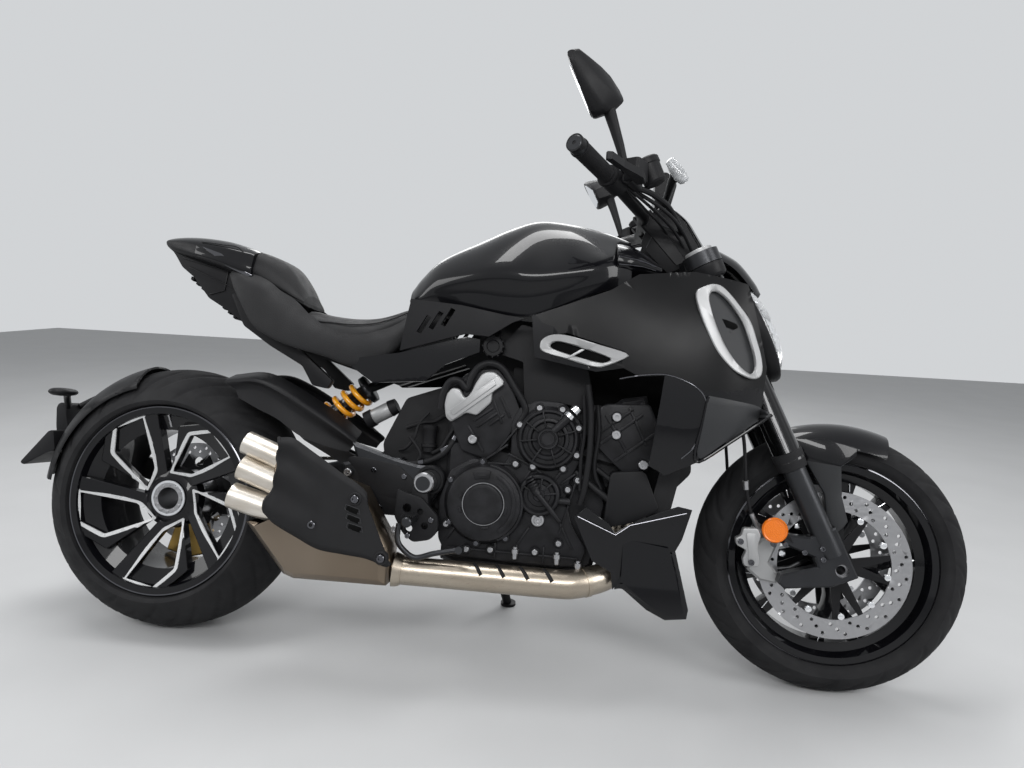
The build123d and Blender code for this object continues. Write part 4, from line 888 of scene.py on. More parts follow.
def makeHeadlight(settings):
    housing = painted(applied(ovalSkin(settings["housing"], settings), "SOLIDIFY", thickness=2, offset=0),
                      satinBlack)
    onFork(housing, "headlightHousing", ["headlight"])
    bowl = painted(applied(ovalSkin(settings["bowl"], settings), "SOLIDIFY", thickness=1, offset=0), darkChrome)
    onFork(bowl, "headlightBowl")
    dome = ovalSkin(settings["dome"], settings, capped=True)
    dome = painted(applied(dome, "SUBSURF", levels=1, render_levels=1), glass)
    onFork(dome, "headlightGlass", smoothAngle=60)
    ribs = []
    tilt = settings["dome"][1]
    for index in range(settings["ribs"]):
        turn = math.tau * index / settings["ribs"]
        ends = [Vector((98, tilt[1] * share * math.cos(turn),
                        settings["middle"] + tilt[2] * share * math.sin(turn)))
                for share in (settings["ribInner"], settings["ribOuter"])]
        ribs.append(bentRod([ends[0] + Vector((4, 0, 0)), ends[1]], 1.3, 1, smooth=False))
    onFork(painted(joined(ribs), mirrorGlass), "headlightRibs")
    lamps = []
    for side, low, high in ((1, -52, -6), (1, 6, 52), (-1, -52, -6), (-1, 6, 52)):
        arc = []
        for step in range(9):
            turn = math.radians(low + (high - low) * step / 8)
            arc.append((88, side * 66 * math.cos(turn), settings["middle"] + 96 * math.sin(turn)))
        lamps.append(bentRod(arc, 5, 3, smooth=False))
    onFork(painted(joined(lamps), lampWhite), "headlightStrips")
    unit = turned([(-20, 0.01), (-20, 30), (4, 34), (8, 32), (4, 27), (0, 14), (0, 0.01)], 40)
    unit = movedBy(unit, Matrix.Translation((86, 0, settings["middle"])) @ Matrix.Rotation(math.radians(-90), 4,
                                                                                           "Z"))
    onFork(painted(unit, mirrorGlass), "headlightLens")


makeHeadlight(headlight)
print("headlight ready")

# fork: satin black collars, dust seals, hoses, reflector, caliper bolts
fork = {"ahead": 27, "spread": 105, "collar": [(1016, 31), (1020, 38), (1024, 40.5), (1049, 41), (1050, 31)],
        "seal": [(556, 26), (558, 31), (574, 32.5), (590, 34), (596, 34), (598, 30.5)]}


def upright(profile, x, y, sides=40):
    # a turned piece whose axis stands along Z at x, y; profile of (Z, radius)
    rows = [[Vector((x + radius * math.cos(math.tau * i / sides), y + radius * math.sin(math.tau * i / sides), z))
             for i in range(sides)] for z, radius in profile]
    return skin(rows, closedAcross=True, capped=True)


for side, label in bothSides:
    collar = painted(upright(fork["collar"], fork["ahead"], side * fork["spread"]), satinBlack)
    onFork(collar, "forkCollar" + label)
    seal = painted(upright(fork["seal"], fork["ahead"], side * fork["spread"]), mattBlack)
    onFork(seal, "forkSeal" + label)
    hose = bentRod([(-50, side * 36, 858), (-60, side * 66, 800), (-50, side * 100, 740), (-44, side * 122, 680),
                    (-66, side * 124, 610), (-84, side * 118, 560), (-96, side * 110, 500), (-92, side * 100, 452)],
                   4, 4)
    onFork(painted(hose, hoseRubber), "brakeHose" + label)
    ends = [ringStack([(-96, side * 110, 500), (-95, side * 105, 474), (-92, side * 100, 452)], [5.5, 5.5, 4.5],
                      12),
            ringStack([(-80, side * 120, 572), (-86, side * 117.5, 554)], [6, 6], 12)]
    onFork(painted(joined(ends), steel), "hoseEnds" + label)
    plateRing = movedBy(turned([(-3, 0.01), (-3, 22), (-5, 25), (-2, 27.5), (3, 27.5), (3, 0.01)], 48),
                        Matrix.Translation((-66, side * 128,
                                            452)) @ Matrix.Rotation(math.radians(0 if side < 0 else 180), 4, "Z"))
    onFork(painted(plateRing, amber), "forkReflector" + label)
    bracket = painted(cutPlate([(-72, 446), (-62, 446), (-40, 410), (-40, 430), (-60, 460), (-72, 460)],
                               side * 122, side * 125, 0.8), satinBlack)
    onFork(bracket, "reflectorBracket" + label)
    bolts = boltsAt([(-57, side * 123, 414), (-80, side * 123, 424), (4, side * 123, 356), (12, side * 123, 378),
                     (-26, side * 123, 384)], 6, (0, side, 0))
    onFork(painted(bolts, darkChrome), "clampBolts" + label)
axleCap = {"profile": [(-112, 10.2), (-112, 17), (-110, 18.5), (-100, 18.5), (-100, 10.2)]}
cap = painted(turned(axleCap["profile"], 36), steel)
settle(mirrored(cap), "axleCaps", frontPlace, "steering_body")
print("fork ready")

# front fender: glossy shell on satin stays
fender = castCopy("front_fender", frontPlace)
painted(fender, glossBlack, greyPlastic,
        rule=lambda middle, normal: 1 if math.hypot(middle.x, middle.z) < 236 and abs(middle.y) > 60 else 0)
settle(fender, "frontFenderShell", frontPlace, "steering_body", ["front_fender"])

# bars: ribbed grips, bar-end weights, cables
bars = {"inner": (-112, 300, 1268), "end": (-158, 420, 1312), "gripRibs": 26}


def makeGrip(side):
    start = Vector((bars["end"][0], side * bars["end"][1], bars["end"][2]))
    inner = Vector((bars["inner"][0], side * bars["inner"][1], bars["inner"][2]))
    place = standing(start, inner)
    profile = [(2, 15), (2, 19.5), (6, 19.5), (7, 17.2)]
    for index in range(bars["gripRibs"]):
        along = 8 + index * 4.1
        profile += [(along, 17.3), (along + 0.8, 18.2), (along + 2.4, 18.2), (along + 3.2, 17.3)]
    profile += [(118, 17.2), (119, 22), (124, 22), (124, 15)]
    grip = painted(movedBy(turned(profile, 40), place), gripRubber)
    weight = painted(movedBy(turned([(-16, 0.01), (-16, 4), (-20, 4), (-20, 14), (-18, 17), (0, 18), (1, 15),
                                     (1, 0.01)], 36),
                             place @ Matrix.Translation((0, 3, 0))), darkMetal)
    return grip, weight


for side, label in bothSides:
    grip, weight = makeGrip(side)
    onFork(grip, "gripRubber" + label)
    onFork(weight, "barEnd" + label)
    cables = [bentRod([(-104, side * 292, 1258), (-80, side * 262, 1240), (-38, side * 170, 1205),
                       (-4, side * 100, 1160),
                       (10, side * 60, 1110), (8, side * 44, 1062)], 3.4, 3),
              bentRod([(-98, side * 280, 1256), (-66, side * 232, 1240), (-18, side * 176, 1192),
                       (8, side * 128, 1150),
                       (20, side * 74, 1096), (14, side * 52, 1050)], 4.2, 3),
              bentRod([(-108, side * 300, 1256), (-84, side * 262, 1238), (-50, side * 166, 1206),
                       (-20, side * 80, 1178),
                       (-4, side * 42, 1120)], 2.8, 3)]
    onFork(painted(joined(cables), hoseRubber), "barCables" + label)
print("bars ready")

# carried-over CAD pieces: two finishes on one piece, told apart by place
def recast(nodeName, place, body, finishes, rule, newName, smoothAngle=32):
    piece = painted(castCopy(nodeName, place), *finishes, rule=rule)
    return settle(piece, newName, place, body, [nodeName], smoothAngle)


def without(piece, rule):
    # the faces whose middle meets the rule are taken away
    openMesh(piece, "DESELECT")
    bpy.ops.mesh.select_mode(type="FACE")
    bpy.ops.object.mode_set(mode="OBJECT")
    for face in piece.data.polygons:
        face.select = rule(face.center)
    bpy.ops.object.mode_set(mode="EDIT")
    bpy.ops.mesh.delete(type="FACE")
    bpy.ops.mesh.select_mode(type="VERT")
    bpy.ops.object.mode_set(mode="OBJECT")
    return piece


mufflerBody = without(castCopy("muffler", bikePlace),
                      lambda middle: middle.x < 351 and middle.y < -190 and middle.z > 318)
onBike(painted(mufflerBody, bronzeSteel), "mufflerBody", ["muffler"])
recast("fork_tubes", forkPlace, "steering_body", (darkTube, steel),
       lambda middle, normal: 0, "forkTubes", 40)
recast("shock_absorber", bikePlace, "chassis", (steel, darkMetal),
       lambda middle, normal: 0 if middle.x < 395 else 1, "shockBody", 40)


def divided(piece, *planes):
    # the mesh is cut along planes so that two finishes meet on a clean line
    for point, normal in planes:
        openMesh(piece)
        bpy.ops.mesh.bisect(plane_co=point, plane_no=normal)
        bpy.ops.object.mode_set(mode="OBJECT")
    return piece


mattEdge = [(900, 800), (1080, 679), (1175, 692), (1253, 659), (1400, 676)]  # satin above this line, gloss below it


shroudCopy = divided(castCopy("radiator_shrouds", bikePlace),
                     *[((x, 0, z), (1, 0, 0)) for x, z in mattEdge[1:-1]],
                     *[((x1, 0, z1), (z1 - z2, 0, x2 - x1)) for (x1, z1), (x2, z2) in zip(mattEdge, mattEdge[1:])])
painted(shroudCopy, shroudBlack, glossBlack, rule=lambda middle,
        normal: 1 if middle.z < heightOn(mattEdge, middle.x) else 0)
onBike(shroudCopy, "radiatorShrouds", ["radiator_shrouds"])

print("carried pieces ready")


# trim that follows the panels
def surfaceOf(nodeName, place):
    node = frame["nodes"][nodeName]
    toPlace = (place @ Matrix.Scale(0.001, 4)).inverted()
    return BVHTree.FromPolygons([toPlace @ vertex.co for vertex in node.data.vertices],
                                [tuple(face.vertices) for face in node.data.polygons])


def onSide(surface, x, z, side=-1, fallback=200):
    hit = surface.ray_cast(Vector((x, side * 500, z)), Vector((0, -side, 0)))
    return hit[0].y if hit[0] else side * fallback


def sideLine(surface, points, proud, radius, side=-1, fallback=200, steps=6):
    # a thin round line lying on a panel
    line = smoothed([Vector((x, z, 0)) for x, z in points], steps)
    spots = [Vector((point.x, onSide(surface, point.x, point.y, side, fallback) + side * proud, point.y))
             for point in line]
    return bentRod(spots, radius, 3, smooth=False)


def sidePatch(surface, upper, lower, proud, thick, side=-1, fallback=200, along=24, across=8, bulge=0.0):
    # a thin panel between two lines, lying on another panel
    high = evenly([(x, z, 0) for x, z in upper], along)
    low = evenly([(x, z, 0) for x, z in lower], along)
    rows = []
    for step in range(across + 1):
        share = step / across
        row = []
        for above, below in zip(high, low):
            spot = above.lerp(below, share)
            rise = bulge * math.sin(math.pi * share)
            row.append(Vector((spot.x, onSide(surface, spot.x, spot.y, side, fallback) + side * (proud + rise),
                               spot.y)))
        rows.append(row)
    patch = skin(rows)
    applied(patch, "SOLIDIFY", thickness=thick, offset=0)
    outward(patch)
    return softened(patch, min(1.2, thick * 0.35), 2, 50)


shroudSurface = surfaceOf("radiator_shrouds", bikePlace)
wing = {"upper": [(1258, 652), (1310, 646), (1368, 638), (1388, 620)],
        "lower": [(1243, 540), (1251, 524), (1300, 560), (1376, 612)]}
for side, label in bothSides:
    panel = sidePatch(shroudSurface, wing["upper"], wing["lower"], 2.5, 3, side, 240, bulge=2)
    onBike(painted(panel, greyPlastic), "sideWing" + label)
    edge = sideLine(shroudSurface, [(1079, 677), (1110, 684), (1169, 690), (1217, 676), (1246, 655), (1258, 622),
                                    (1247, 580), (1236, 545), (1213, 520)], 0.5, 1.6, side, 240)
    onBike(painted(edge, darkChrome), "archEdge" + label)
    border = sideLine(shroudSurface, [(1390, 622), (1372, 608), (1310, 560), (1249, 516), (1240, 540), (1249, 590),
                                      (1258, 650)], 1.5, 3.4, side, 240, 4)
    onBike(painted(border, glossBlack), "wingBorder" + label)

print("shroud trim ready")

# belly side panels: sharp folded pieces beside the spoiler
belly = {"outline": [(1002, 376), (1027, 399), (1077, 368), (1092, 349), (1123, 371), (1184, 400), (1222, 415),
                     (1252, 410), (1234, 346), (1222, 318), (1256, 197), (1253, 177), (1208, 171), (1168, 189),
                     (1103, 238), (1094, 224), (1088, 262), (1046, 284)],
         "crease": [(1010, 378), (1093, 345), (1123, 368), (1240, 402)]}
for side, label in bothSides:
    low, high = (side * 185, side * 189) if side > 0 else (-189, -185)
    sheet = cutPlate(belly["outline"], low, high, 1.2, 2)
    for vertex in sheet.data.vertices:
        fold = max(0, 340 - vertex.co.z) * 0.16 + max(0, vertex.co.x - 1150) * 0.12
        vertex.co.y -= side * fold * (1 if vertex.co.z < 340 else 0.4)
    onBike(painted(sheet, glossBlack), "bellySide" + label, smoothAngle=20)
    edge = bentRod([(x, side * (190 - max(0, x - 1150) * 0.05), z) for x, z in belly["crease"]], 1.6, 3,
                   smooth=False)
    onBike(painted(edge, darkChrome), "bellyEdge" + label)
print("belly ready")

# exhaust: sleeve with slanted slots over the header, seam bands
exhaust = {"line": [(1096, -120, 252), (1062, -140, 238), (1010, -166, 228), (960, -170, 226), (800, -171, 226),
                    (620, -172, 226)], "sleeve": 31,
           "slots": [790, 840, 892, 944]}
line = smoothed(exhaust["line"], 6)
sleeve = bentRod(line, exhaust["sleeve"], 10, smooth=False)
painted(sleeve, warmSteel)
onBike(sleeve, "headerSleeve")
# the slots are near-black rods laid on the sleeve: painted shade inside them
slotShadeRods = []
for x in exhaust["slots"]:
    points = []
    for step in range(7):
        turn = math.radians(84 - 10.5 * step)
        points.append((x + 3.4 * step, -172 - (exhaust["sleeve"] - 3.6) * math.cos(turn),
                       226 + (exhaust["sleeve"] - 3.6) * math.sin(turn)))
    slotShadeRods.append(bentRod(points, 4.9, 4, smooth=False))
onBike(painted(joined(slotShadeRods), hoseRubber), "headerSlotShade")
bands = [ringStack([(630, -172, 226), (622, -172, 226), (612, -174, 228)], [33, 36, 38], 40),
         ringStack([(1030, -157, 231), (1040, -152, 233)], [32.5, 32.5], 32)]
onBike(painted(joined(bands), warmSteel), "exhaustBands")
print("exhaust ready")
# engine's right side: turned covers with ribs, arcs and bolts
def spunAt(profile, x, z, steps=72):
    return movedBy(turned(profile, steps), Matrix.Translation((x, 0, z)))


def onCircle(centre, radius, angle):
    return (centre[0] + radius * math.cos(math.radians(angle)), centre[1] + radius * math.sin(math.radians(angle)))


def arcPlate(centre, inner, outer, start, stop, low, high, bevel=1.0):
    angles = [start + (stop - start) * step / 14 for step in range(15)]
    outline = [onCircle(centre, outer, angle) for angle in angles]
    outline += [onCircle(centre, inner, angle) for angle in reversed(angles)]
    return cutPlate(outline, low, high, bevel)


def ribPlate(start, stop, width, low, high, bevel=0.8):
    way = (Vector(stop) - Vector(start)).normalized() * width / 2
    aside = Vector((-way.y, way.x))
    start, stop = Vector(start), Vector(stop)
    return cutPlate([tuple(start + aside), tuple(stop + aside), tuple(stop - aside), tuple(start - aside)],
                    low, high, bevel)


clutchCover = {"centre": (802, 387),
               "profile": [(-128, 92), (-152, 92), (-155, 90), (-158, 87), (-163, 85.5), (-171, 84), (-176, 81),
                           (-178, 77), (-179.5, 62), (-180, 52), (-180, 47.5), (-177, 46.5), (-177, 44.8),
                           (-186, 44.5), (-188.5, 43), (-189.5, 40), (-189.2, 34), (-188.6, 0.01)],
               "arcs": [(64, 73, -56, 66, -183, -175), (80, 88, -66, 84, -172, -158),
                        (56, 75, 80, 112, -183, -176)],
               "tabs": [(50, 55, 34, 58), (50, 55, -22, -4), (60, 65, 88, 104), (50, 56, 156, 168),
                        (50, 56, 192, 204),
                        (50, 55, 270, 288)],
               "lugs": [150, 212, 262, 305, 20, 96], "lugRadius": 91}
generatorCover = {"centre": (935, 539),
                  "profile": [(-128, 72), (-150, 72), (-153, 70), (-156, 67), (-166, 66), (-168.5, 64),
                              (-168.5, 60),
                              (-166, 58), (-160, 56), (-160, 47), (-167, 45.5), (-168, 43), (-168, 39), (-164, 37),
                              (-161, 35), (-161, 28), (-163, 24), (-176, 23.4), (-178.5, 22), (-178.5, 18.5),
                              (-175.5, 17), (-175.5, 15), (-177.5, 14), (-177.5, 0.01)],
                  "ribs": [20, 62, 104, 146, 188, 238, 290, 332], "ribReach": (23, 64)}
pumpCover = {"centre": (923, 414),
             "profile": [(-128, 48), (-158, 48), (-162, 46), (-169, 44.5), (-171, 42), (-171, 38), (-167, 36),
                         (-164, 33), (-164, 26), (-167, 24), (-168, 14), (-172, 12), (-172, 0.01)],
             "ribs": [10, 46, 82, 118, 154], "ribReach": (12, 40)}


def makeClutchCover(cover):
    centre = cover["centre"]
    pieces = [spunAt(cover["profile"], *centre, 112)]
    pieces += [arcPlate(centre, *arc) for arc in cover["arcs"]]
    for inner, outer, start, stop in cover["tabs"]:
        pieces.append(arcPlate(centre, inner, outer, start, stop, -183.5, -178, 1.2))
    for angle in cover["lugs"]:
        x, z = onCircle(centre, cover["lugRadius"], angle)
        pieces.append(spunAt([(-128, 9.5), (-158, 9.5), (-160, 8), (-160, 0.01)], x, z, 24))
    body = joined([painted(piece, engineBlack) for piece in pieces])
    onBike(body, "clutchCover", smoothAngle=30)
    ring = painted(spunAt([(-177, 45.6), (-181, 45.4), (-181, 46.8), (-177, 47.2)], *centre, 112), steel)
    onBike(ring, "clutchRing")
    places = [(onCircle(centre, cover["lugRadius"], angle)[0], -159, onCircle(centre, cover["lugRadius"], angle)[1])
              for angle in cover["lugs"]]
    onBike(painted(boltsAt(places, 5.6), darkChrome), "clutchBolts")


def makeRibbedCover(cover, name):
    centre = cover["centre"]
    pieces = [spunAt(cover["profile"], *centre, 96)]
    for angle in cover["ribs"]:
        inner, outer = (onCircle(centre, reach, angle) for reach in cover["ribReach"])
        pieces.append(ribPlate(inner, outer, 3.4, -171, -155))
    body = joined([painted(piece, engineBlack) for piece in pieces])
    onBike(body, name, smoothAngle=30)


makeClutchCover(clutchCover)
makeRibbedCover(generatorCover, "generatorCover")
makeRibbedCover(pumpCover, "pumpCover")

crankcase = {"plate": [(838, 470), (852, 500), (850, 566), (866, 606), (908, 624), (966, 622), (1008, 578),
                       (1016, 505),
                       (990, 452), (982, 404), (1000, 350), (1034, 300), (1022, 264), (972, 256), (722, 262),
                       (700, 300), (696, 384), (720, 456), (770, 486)],
             "webs": [((848, 500), (905, 474)), ((905, 474), (880, 432)), ((870, 566), (820, 500)),
                      ((905, 474), (938, 452)),
                      ((972, 475), (950, 440)), ((846, 520), (790, 478)), ((800, 476), (860, 476)),
                      ((972, 330), (1010, 480)),
                      ((880, 300), (884, 268)), ((940, 300), (940, 262)), ((832, 300), (832, 268)),
                      ((720, 300), (740, 330)),
                      ((972, 355), (1002, 300)), ((905, 340), (880, 300)), ((968, 440), (1006, 470)),
                      ((724, 282), (1016, 280))],
             "bolts": [(912, 606), (963, 606), (1001, 567), (1000, 507), (972, 475), (905, 475), (866, 478),
                       (870, 566),
                       (972, 311), (822, 285), (921, 288), (719, 334), (1006, 452), (985, 430), (768, 282)],
             "plugs": [(877, 290), (970, 286), (1017, 271)]}
case = cutPlate(crankcase["plate"], -150, -96, 4, 3, 10)
webs = [ribPlate(start, stop, 4.2, -156, -146) for start, stop in crankcase["webs"]]
bosses = [spunAt([(-140, 11), (-157, 10.5), (-159, 9), (-159, 0.01)], x, z, 24) for x, z in crankcase["bolts"]]
caseWhole = joined([painted(piece, engineBlack) for piece in [case] + webs + bosses])
onBike(mirrored(caseWhole), "crankcaseCover", ["engine_covers"], 30)
onBike(painted(boltsAt([(x, -158, z) for x, z in crankcase["bolts"]], 6.2), steel), "crankcaseBolts")
plugs = []
for x, z in crankcase["plugs"]:
    plugs.append(upright([(z - 22, 4.5), (z - 20, 6), (z - 8, 6), (z - 8, 8.5), (z + 1, 8.5), (z + 2, 5),
                          (z + 6, 5)],
                         x, -158, 18))
plugs.append(spunAt([(-150, 15), (-160, 15), (-162, 13.5), (-162, 9.5), (-158, 9), (-158, 7), (-161, 6.5),
                     (-161, 3.4),
                     (-157, 3.4), (-157, 0.01)], 923, 359, 36))
onBike(painted(joined(plugs), steel), "engineDrains")

# oil pipe and water arm across the covers
pipes = [ringStack([(904, -172, 438), (914, -175, 426), (922, -177, 416)], [9, 9.5, 8], 20),
         ringStack([(920, -177, 418), (946, -177, 390), (972, -168, 360)], [6, 5.6, 5], 18),
         ringStack([(960, -156, 404), (978, -158, 404), (992, -158, 404)], [9, 8, 8], 20),
         ringStack([(946, -172, 556), (968, -172, 580), (984, -168, 598)], [8.5, 9.5, 10], 24)]
for share in (0.0, 0.25, 0.5, 0.75, 1.0):
    spot = Vector((899, -176, 452)).lerp(Vector((914, -178, 430)), share)
    pipes.append(movedBy(turned([(-1.6, 0.01), (-1.6, 10.5), (1.6, 10.5), (1.6, 0.01)], 22),
                         standing(spot, spot + Vector((14, 0, -22)))))
onBike(painted(joined(pipes), engineBlack), "enginePipes")
clamps = [ringStack([(976, -170, 589), (982, -169, 596)], [11.6, 11.6], 28),
          ringStack([(987, -168, 601), (996, -166, 611)], [12.4, 11], 28)]
onBike(painted(joined(clamps), machined), "pipeClamps")

# cylinder heads: dark finned casting, bright cam cover with its raised bar
heads = {"body": [(712, 556), (740, 498), (800, 482), (838, 520), (872, 590), (846, 650), (812, 690), (748, 684)],
         "cover": [(695, 601), (699, 626), (711, 640), (728, 638), (737, 622), (745, 618), (755, 632), (762, 650),
                   (776, 675), (790, 681), (805, 681), (822, 668), (829, 658), (802, 634), (802, 612), (770, 580),
                   (746, 585), (712, 561), (700, 572)],
         "bar": [(703, 580), (717, 566), (828, 654), (812, 672)],
         "ridge": [(710, 588), (720, 578), (812, 652), (804, 664)],
         "ribs": [((764, 568), (806, 600)), ((772, 554), (818, 590)), ((752, 556), (790, 500)),
                  ((800, 560), (832, 586)),
                  ((806, 618), (828, 566)), ((822, 626), (846, 580))],
         "front": [(1036, 612), (1060, 626), (1155, 630), (1190, 552), (1152, 492), (1117, 462), (1036, 534)],
         "frontRibs": [((1050, 536), (1140, 606)), ((1046, 560), (1118, 616)), ((1084, 500), (1168, 566)),
                       ((1110, 620), (1150, 540)), ((1060, 600), (1110, 520))]}
headPieces = [cutPlate(heads["body"], -146, -90, 4, 3, 8), cutPlate(heads["front"], -150, -90, 4, 3, 8)]
headPieces += [ribPlate(start, stop, 5, -151, -142) for start, stop in heads["ribs"]]
headPieces += [ribPlate(start, stop, 6, -155, -146) for start, stop in heads["frontRibs"]]
headPieces += [spunAt([(-140, 13), (-152, 12.5), (-154, 11), (-154, 0.01)], x, z, 24)
               for x, z in ((765, 526), (1083, 597), (1084, 558), (1146, 496))]
onBike(joined([painted(piece, engineBlack) for piece in headPieces]), "cylinderHeads",
       smoothAngle=30)
camCover = [cutPlate(heads["cover"], -157, -136, 4, 4, 6), cutPlate(heads["bar"], -163, -150, 2.5, 3, 3),
            cutPlate(heads["ridge"], -166, -160, 1.6, 2, 2)]
onBike(joined([painted(piece, silver) for piece in camCover]), "camCover", smoothAngle=30)
onBike(painted(boltsAt([(765, -153, 526), (1083, -153, 597), (1084, -153, 558), (1146, -153, 496)], 10), steel),
       "headBolts")
surround = bentRod([(686, -150, 590), (690, -152, 622), (704, -154, 652), (726, -154, 656), (744, -152, 640),
                    (752, -152, 664), (768, -152, 690), (794, -152, 700), (822, -152, 690), (848, -150, 654),
                    (880, -148, 600), (862, -146, 560)], 8, 5)
onBike(painted(surround, satinBlack), "coverSurround")

# looms, hoses and the bar that stands in front of the generator
looms = [bentRod([(1016, -166, 664), (1026, -166, 600), (1028, -166, 520), (1022, -164, 440), (1014, -160, 400)], 7,
                 4),
         bentRod([(1008, -160, 640), (1014, -160, 560), (1010, -160, 500), (1012, -158, 430)], 4.5, 3),
         bentRod([(1040, -150, 620), (1046, -156, 560), (1040, -156, 480), (1060, -150, 430)], 5, 3),
         bentRod([(1046, -152, 480), (1090, -156, 450), (1120, -156, 430), (1146, -150, 440)], 6, 4),
         bentRod([(1000, -150, 470), (1040, -158, 440), (1080, -158, 410), (1100, -150, 380)], 7.5, 4),
         bentRod([(725, -124, 534), (712, -128, 508), (694, -128, 486), (660, -124, 467), (623, -118, 459),
                  (590, -108, 462)],
                 7, 4),
         bentRod([(716, -120, 548), (700, -122, 520), (690, -122, 500), (668, -118, 486)], 4.5, 3),
         bentRod([(610, -110, 520), (630, -118, 500), (640, -118, 476), (628, -116, 452), (640, -120, 430)], 4, 3),
         bentRod([(600, -100, 540), (618, -108, 548), (640, -104, 556), (664, -98, 560), (690, -100, 576)], 5, 3),
         bentRod([(584, -96, 486), (604, -108, 494), (622, -110, 520), (630, -108, 552), (650, -100, 580)], 3.5, 3),
         bentRod([(566, -104, 440), (590, -112, 450), (612, -112, 440), (636, -112, 452)], 5, 3)]
onBike(painted(joined(looms), hoseRubber), "engineHoses")
fittings = [ringStack([(596, -112, 462), (606, -116, 460)], [8.4, 8.4], 18),
            ringStack([(640, -122, 462), (652, -124, 465)], [8.2, 8.2], 18),
            ringStack([(718, -126, 520), (722, -125, 528)], [8.2, 8.2], 18),
            cutPlate([(688, 498), (706, 508), (704, 494), (694, 486)], -134, -130, 0.8),
            cutPlate([(636, 452), (646, 458), (650, 444), (640, 438)], -126, -120, 0.8)]
onBike(painted(joined(fittings), darkChrome), "hoseFittings")
canister = upright([(486, 12), (488, 16), (498, 17), (500, 19), (506, 19), (508, 16.5), (536, 16.5), (540, 19),
                    (548, 19),
                    (551, 15), (551, 6)], 656, -104, 32)
onBike(painted(canister, satinBlack), "pumpCanister")

# painted shade: dark sheets behind the engine's openings, standing in for the shadow seen through them; then the
# header's cover
shadeWallOutlines = [[(590, 610), (700, 650), (722, 560), (700, 420), (690, 300), (640, 300), (560, 400), (540, 500)],
         [(1010, 640), (1250, 690), (1262, 480), (1180, 390), (1090, 350), (990, 470)],
         [(840, 700), (1010, 690), (1060, 560), (1010, 520), (850, 560)]]
inner = [painted(cutPlate(outline, -86, -60, 2, 2, 10), mattBlack) for outline in shadeWallOutlines]
onBike(mirrored(joined(inner)), "engineShadeWalls")
onBike(painted(cutPlate([(1076, 476), (1150, 484), (1186, 400), (1124, 368), (1066, 352)], -166, -110, 4, 3, 12),
               satinBlack),
       "headerCover")

# swingarm pivot, heel guard, hanger, peg and brake pedal
pivotAt = {"x": 673, "z": 426}
ring = spunAt([(-120, 34), (-146, 34), (-150, 31), (-150, 27), (-146, 25), (-146, 0.01)], pivotAt["x"],
              pivotAt["z"], 64)
onBike(mirrored(painted(ring, satinBlack)), "pivotRing")
pivotBolt = spunAt([(-144, 23), (-180, 23), (-183, 20.5), (-183, 9), (-180, 8.2), (-176, 8), (-176, 0.01)],
                   pivotAt["x"] - 7, pivotAt["z"] - 3, 48)
onBike(mirrored(painted(pivotBolt, steel)), "pivotBolt")
foot = {"guard": [(474, 460), (486, 468), (520, 466), (597, 455), (628, 430), (649, 404), (671, 389), (664, 371),
                  (634, 374), (656, 349), (650, 336), (571, 342), (538, 367), (523, 393), (496, 438)],
        "hanger": [(608, 408), (632, 398), (664, 392), (704, 352), (706, 320), (690, 300), (652, 292), (628, 310),
                   (606, 346)],
        "pedal": [(620, -192, 332), (620, -196, 300), (632, -197, 280), (662, -197, 262), (704, -197, 274),
                  (762, -197, 288)],
        "guardBolts": [(480, 432), (540, 440), (612, 430), (640, 356), (560, 356)]}
guard = cutPlate(foot["guard"], -142, -134, 2.5, 3, 6)
onBike(mirrored(painted(guard, satinBlack)), "heelGuard", smoothAngle=28)
hanger = cutPlate(foot["hanger"], -186, -172, 3, 3, 8)
hangerHoles = [(640, 322, 9), (676, 330, 8), (634, 366, 10), (664, 360, 7)]
for x, z, radius in hangerHoles:
    cutBy(hanger, spunAt([(-200, 0.01), (-200, radius), (-160, radius), (-160, 0.01)], x, z, 28))
stay = cutPlate([(640, 420), (676, 400), (684, 330), (640, 330)], -176, -130, 3, 2, 6)
onBike(mirrored(joined([painted(hanger, satinBlack), painted(stay, satinBlack)])), "footHangers",
       ["foot_controls"], 28)
peg = painted(spunAt([(-180, 0.01), (-180, 8), (-186, 11), (-250, 11), (-253, 8), (-253, 0.01)], 650, 345, 28),
              darkMetal)
pegPads = [ribPlate((638 + 4 * i, 355), (638 + 4 * i, 359), 2.4, -248, -196, 0.6) for i in range(7)]
onBike(mirrored(joined([peg] + [painted(pad, gripRubber) for pad in pegPads])), "footPegs")
pedal = [bentRod(foot["pedal"], 6.2, 4), ringStack([(762, -196, 288), (762, -216, 290), (762, -226, 291)],
                                                   [8, 9, 8], 20)]
onBike(painted(joined(pedal), darkMetal), "brakePedal")
onBike(painted(boltsAt([(x, -143, z) for x, z in foot["guardBolts"]] + [(640, -187, 306), (690, -187, 344)], 6),
               darkChrome),
       "guardBolts")
onBike(painted(boltsAt([(480, -143, 430), (612, -190, 318)], 9), steel), "guardPins")
reservoir = [ringStack([(500, -62, 556), (508, -62, 560), (550, -62, 584), (556, -62, 588)], [15, 19, 19, 16], 36)]
onBike(painted(joined(reservoir), silver), "shockReservoir")
ends = [ringStack([(490, -62, 549), (506, -62, 559)], [21.5, 21.5], 36),
        ringStack([(546, -62, 582), (562, -62, 591)], [20.5, 18], 36)]
onBike(painted(joined(ends), satinBlack), "reservoirEnds")
knob = [spunAt([(-130, 24), (-150, 24), (-154, 22), (-154, 15), (-150, 13), (-150, 0.01)], 797, 739, 48)]
knob += [ribPlate(onCircle((797, 739), 22, a), onCircle((797, 739), 26, a), 4, -153, -134, 0.8) for a in range(0,
                                                                                                               360,
                                                                                                               30)]
onBike(painted(joined(knob), satinBlack), "tankKnob")
print("engine dressing ready")
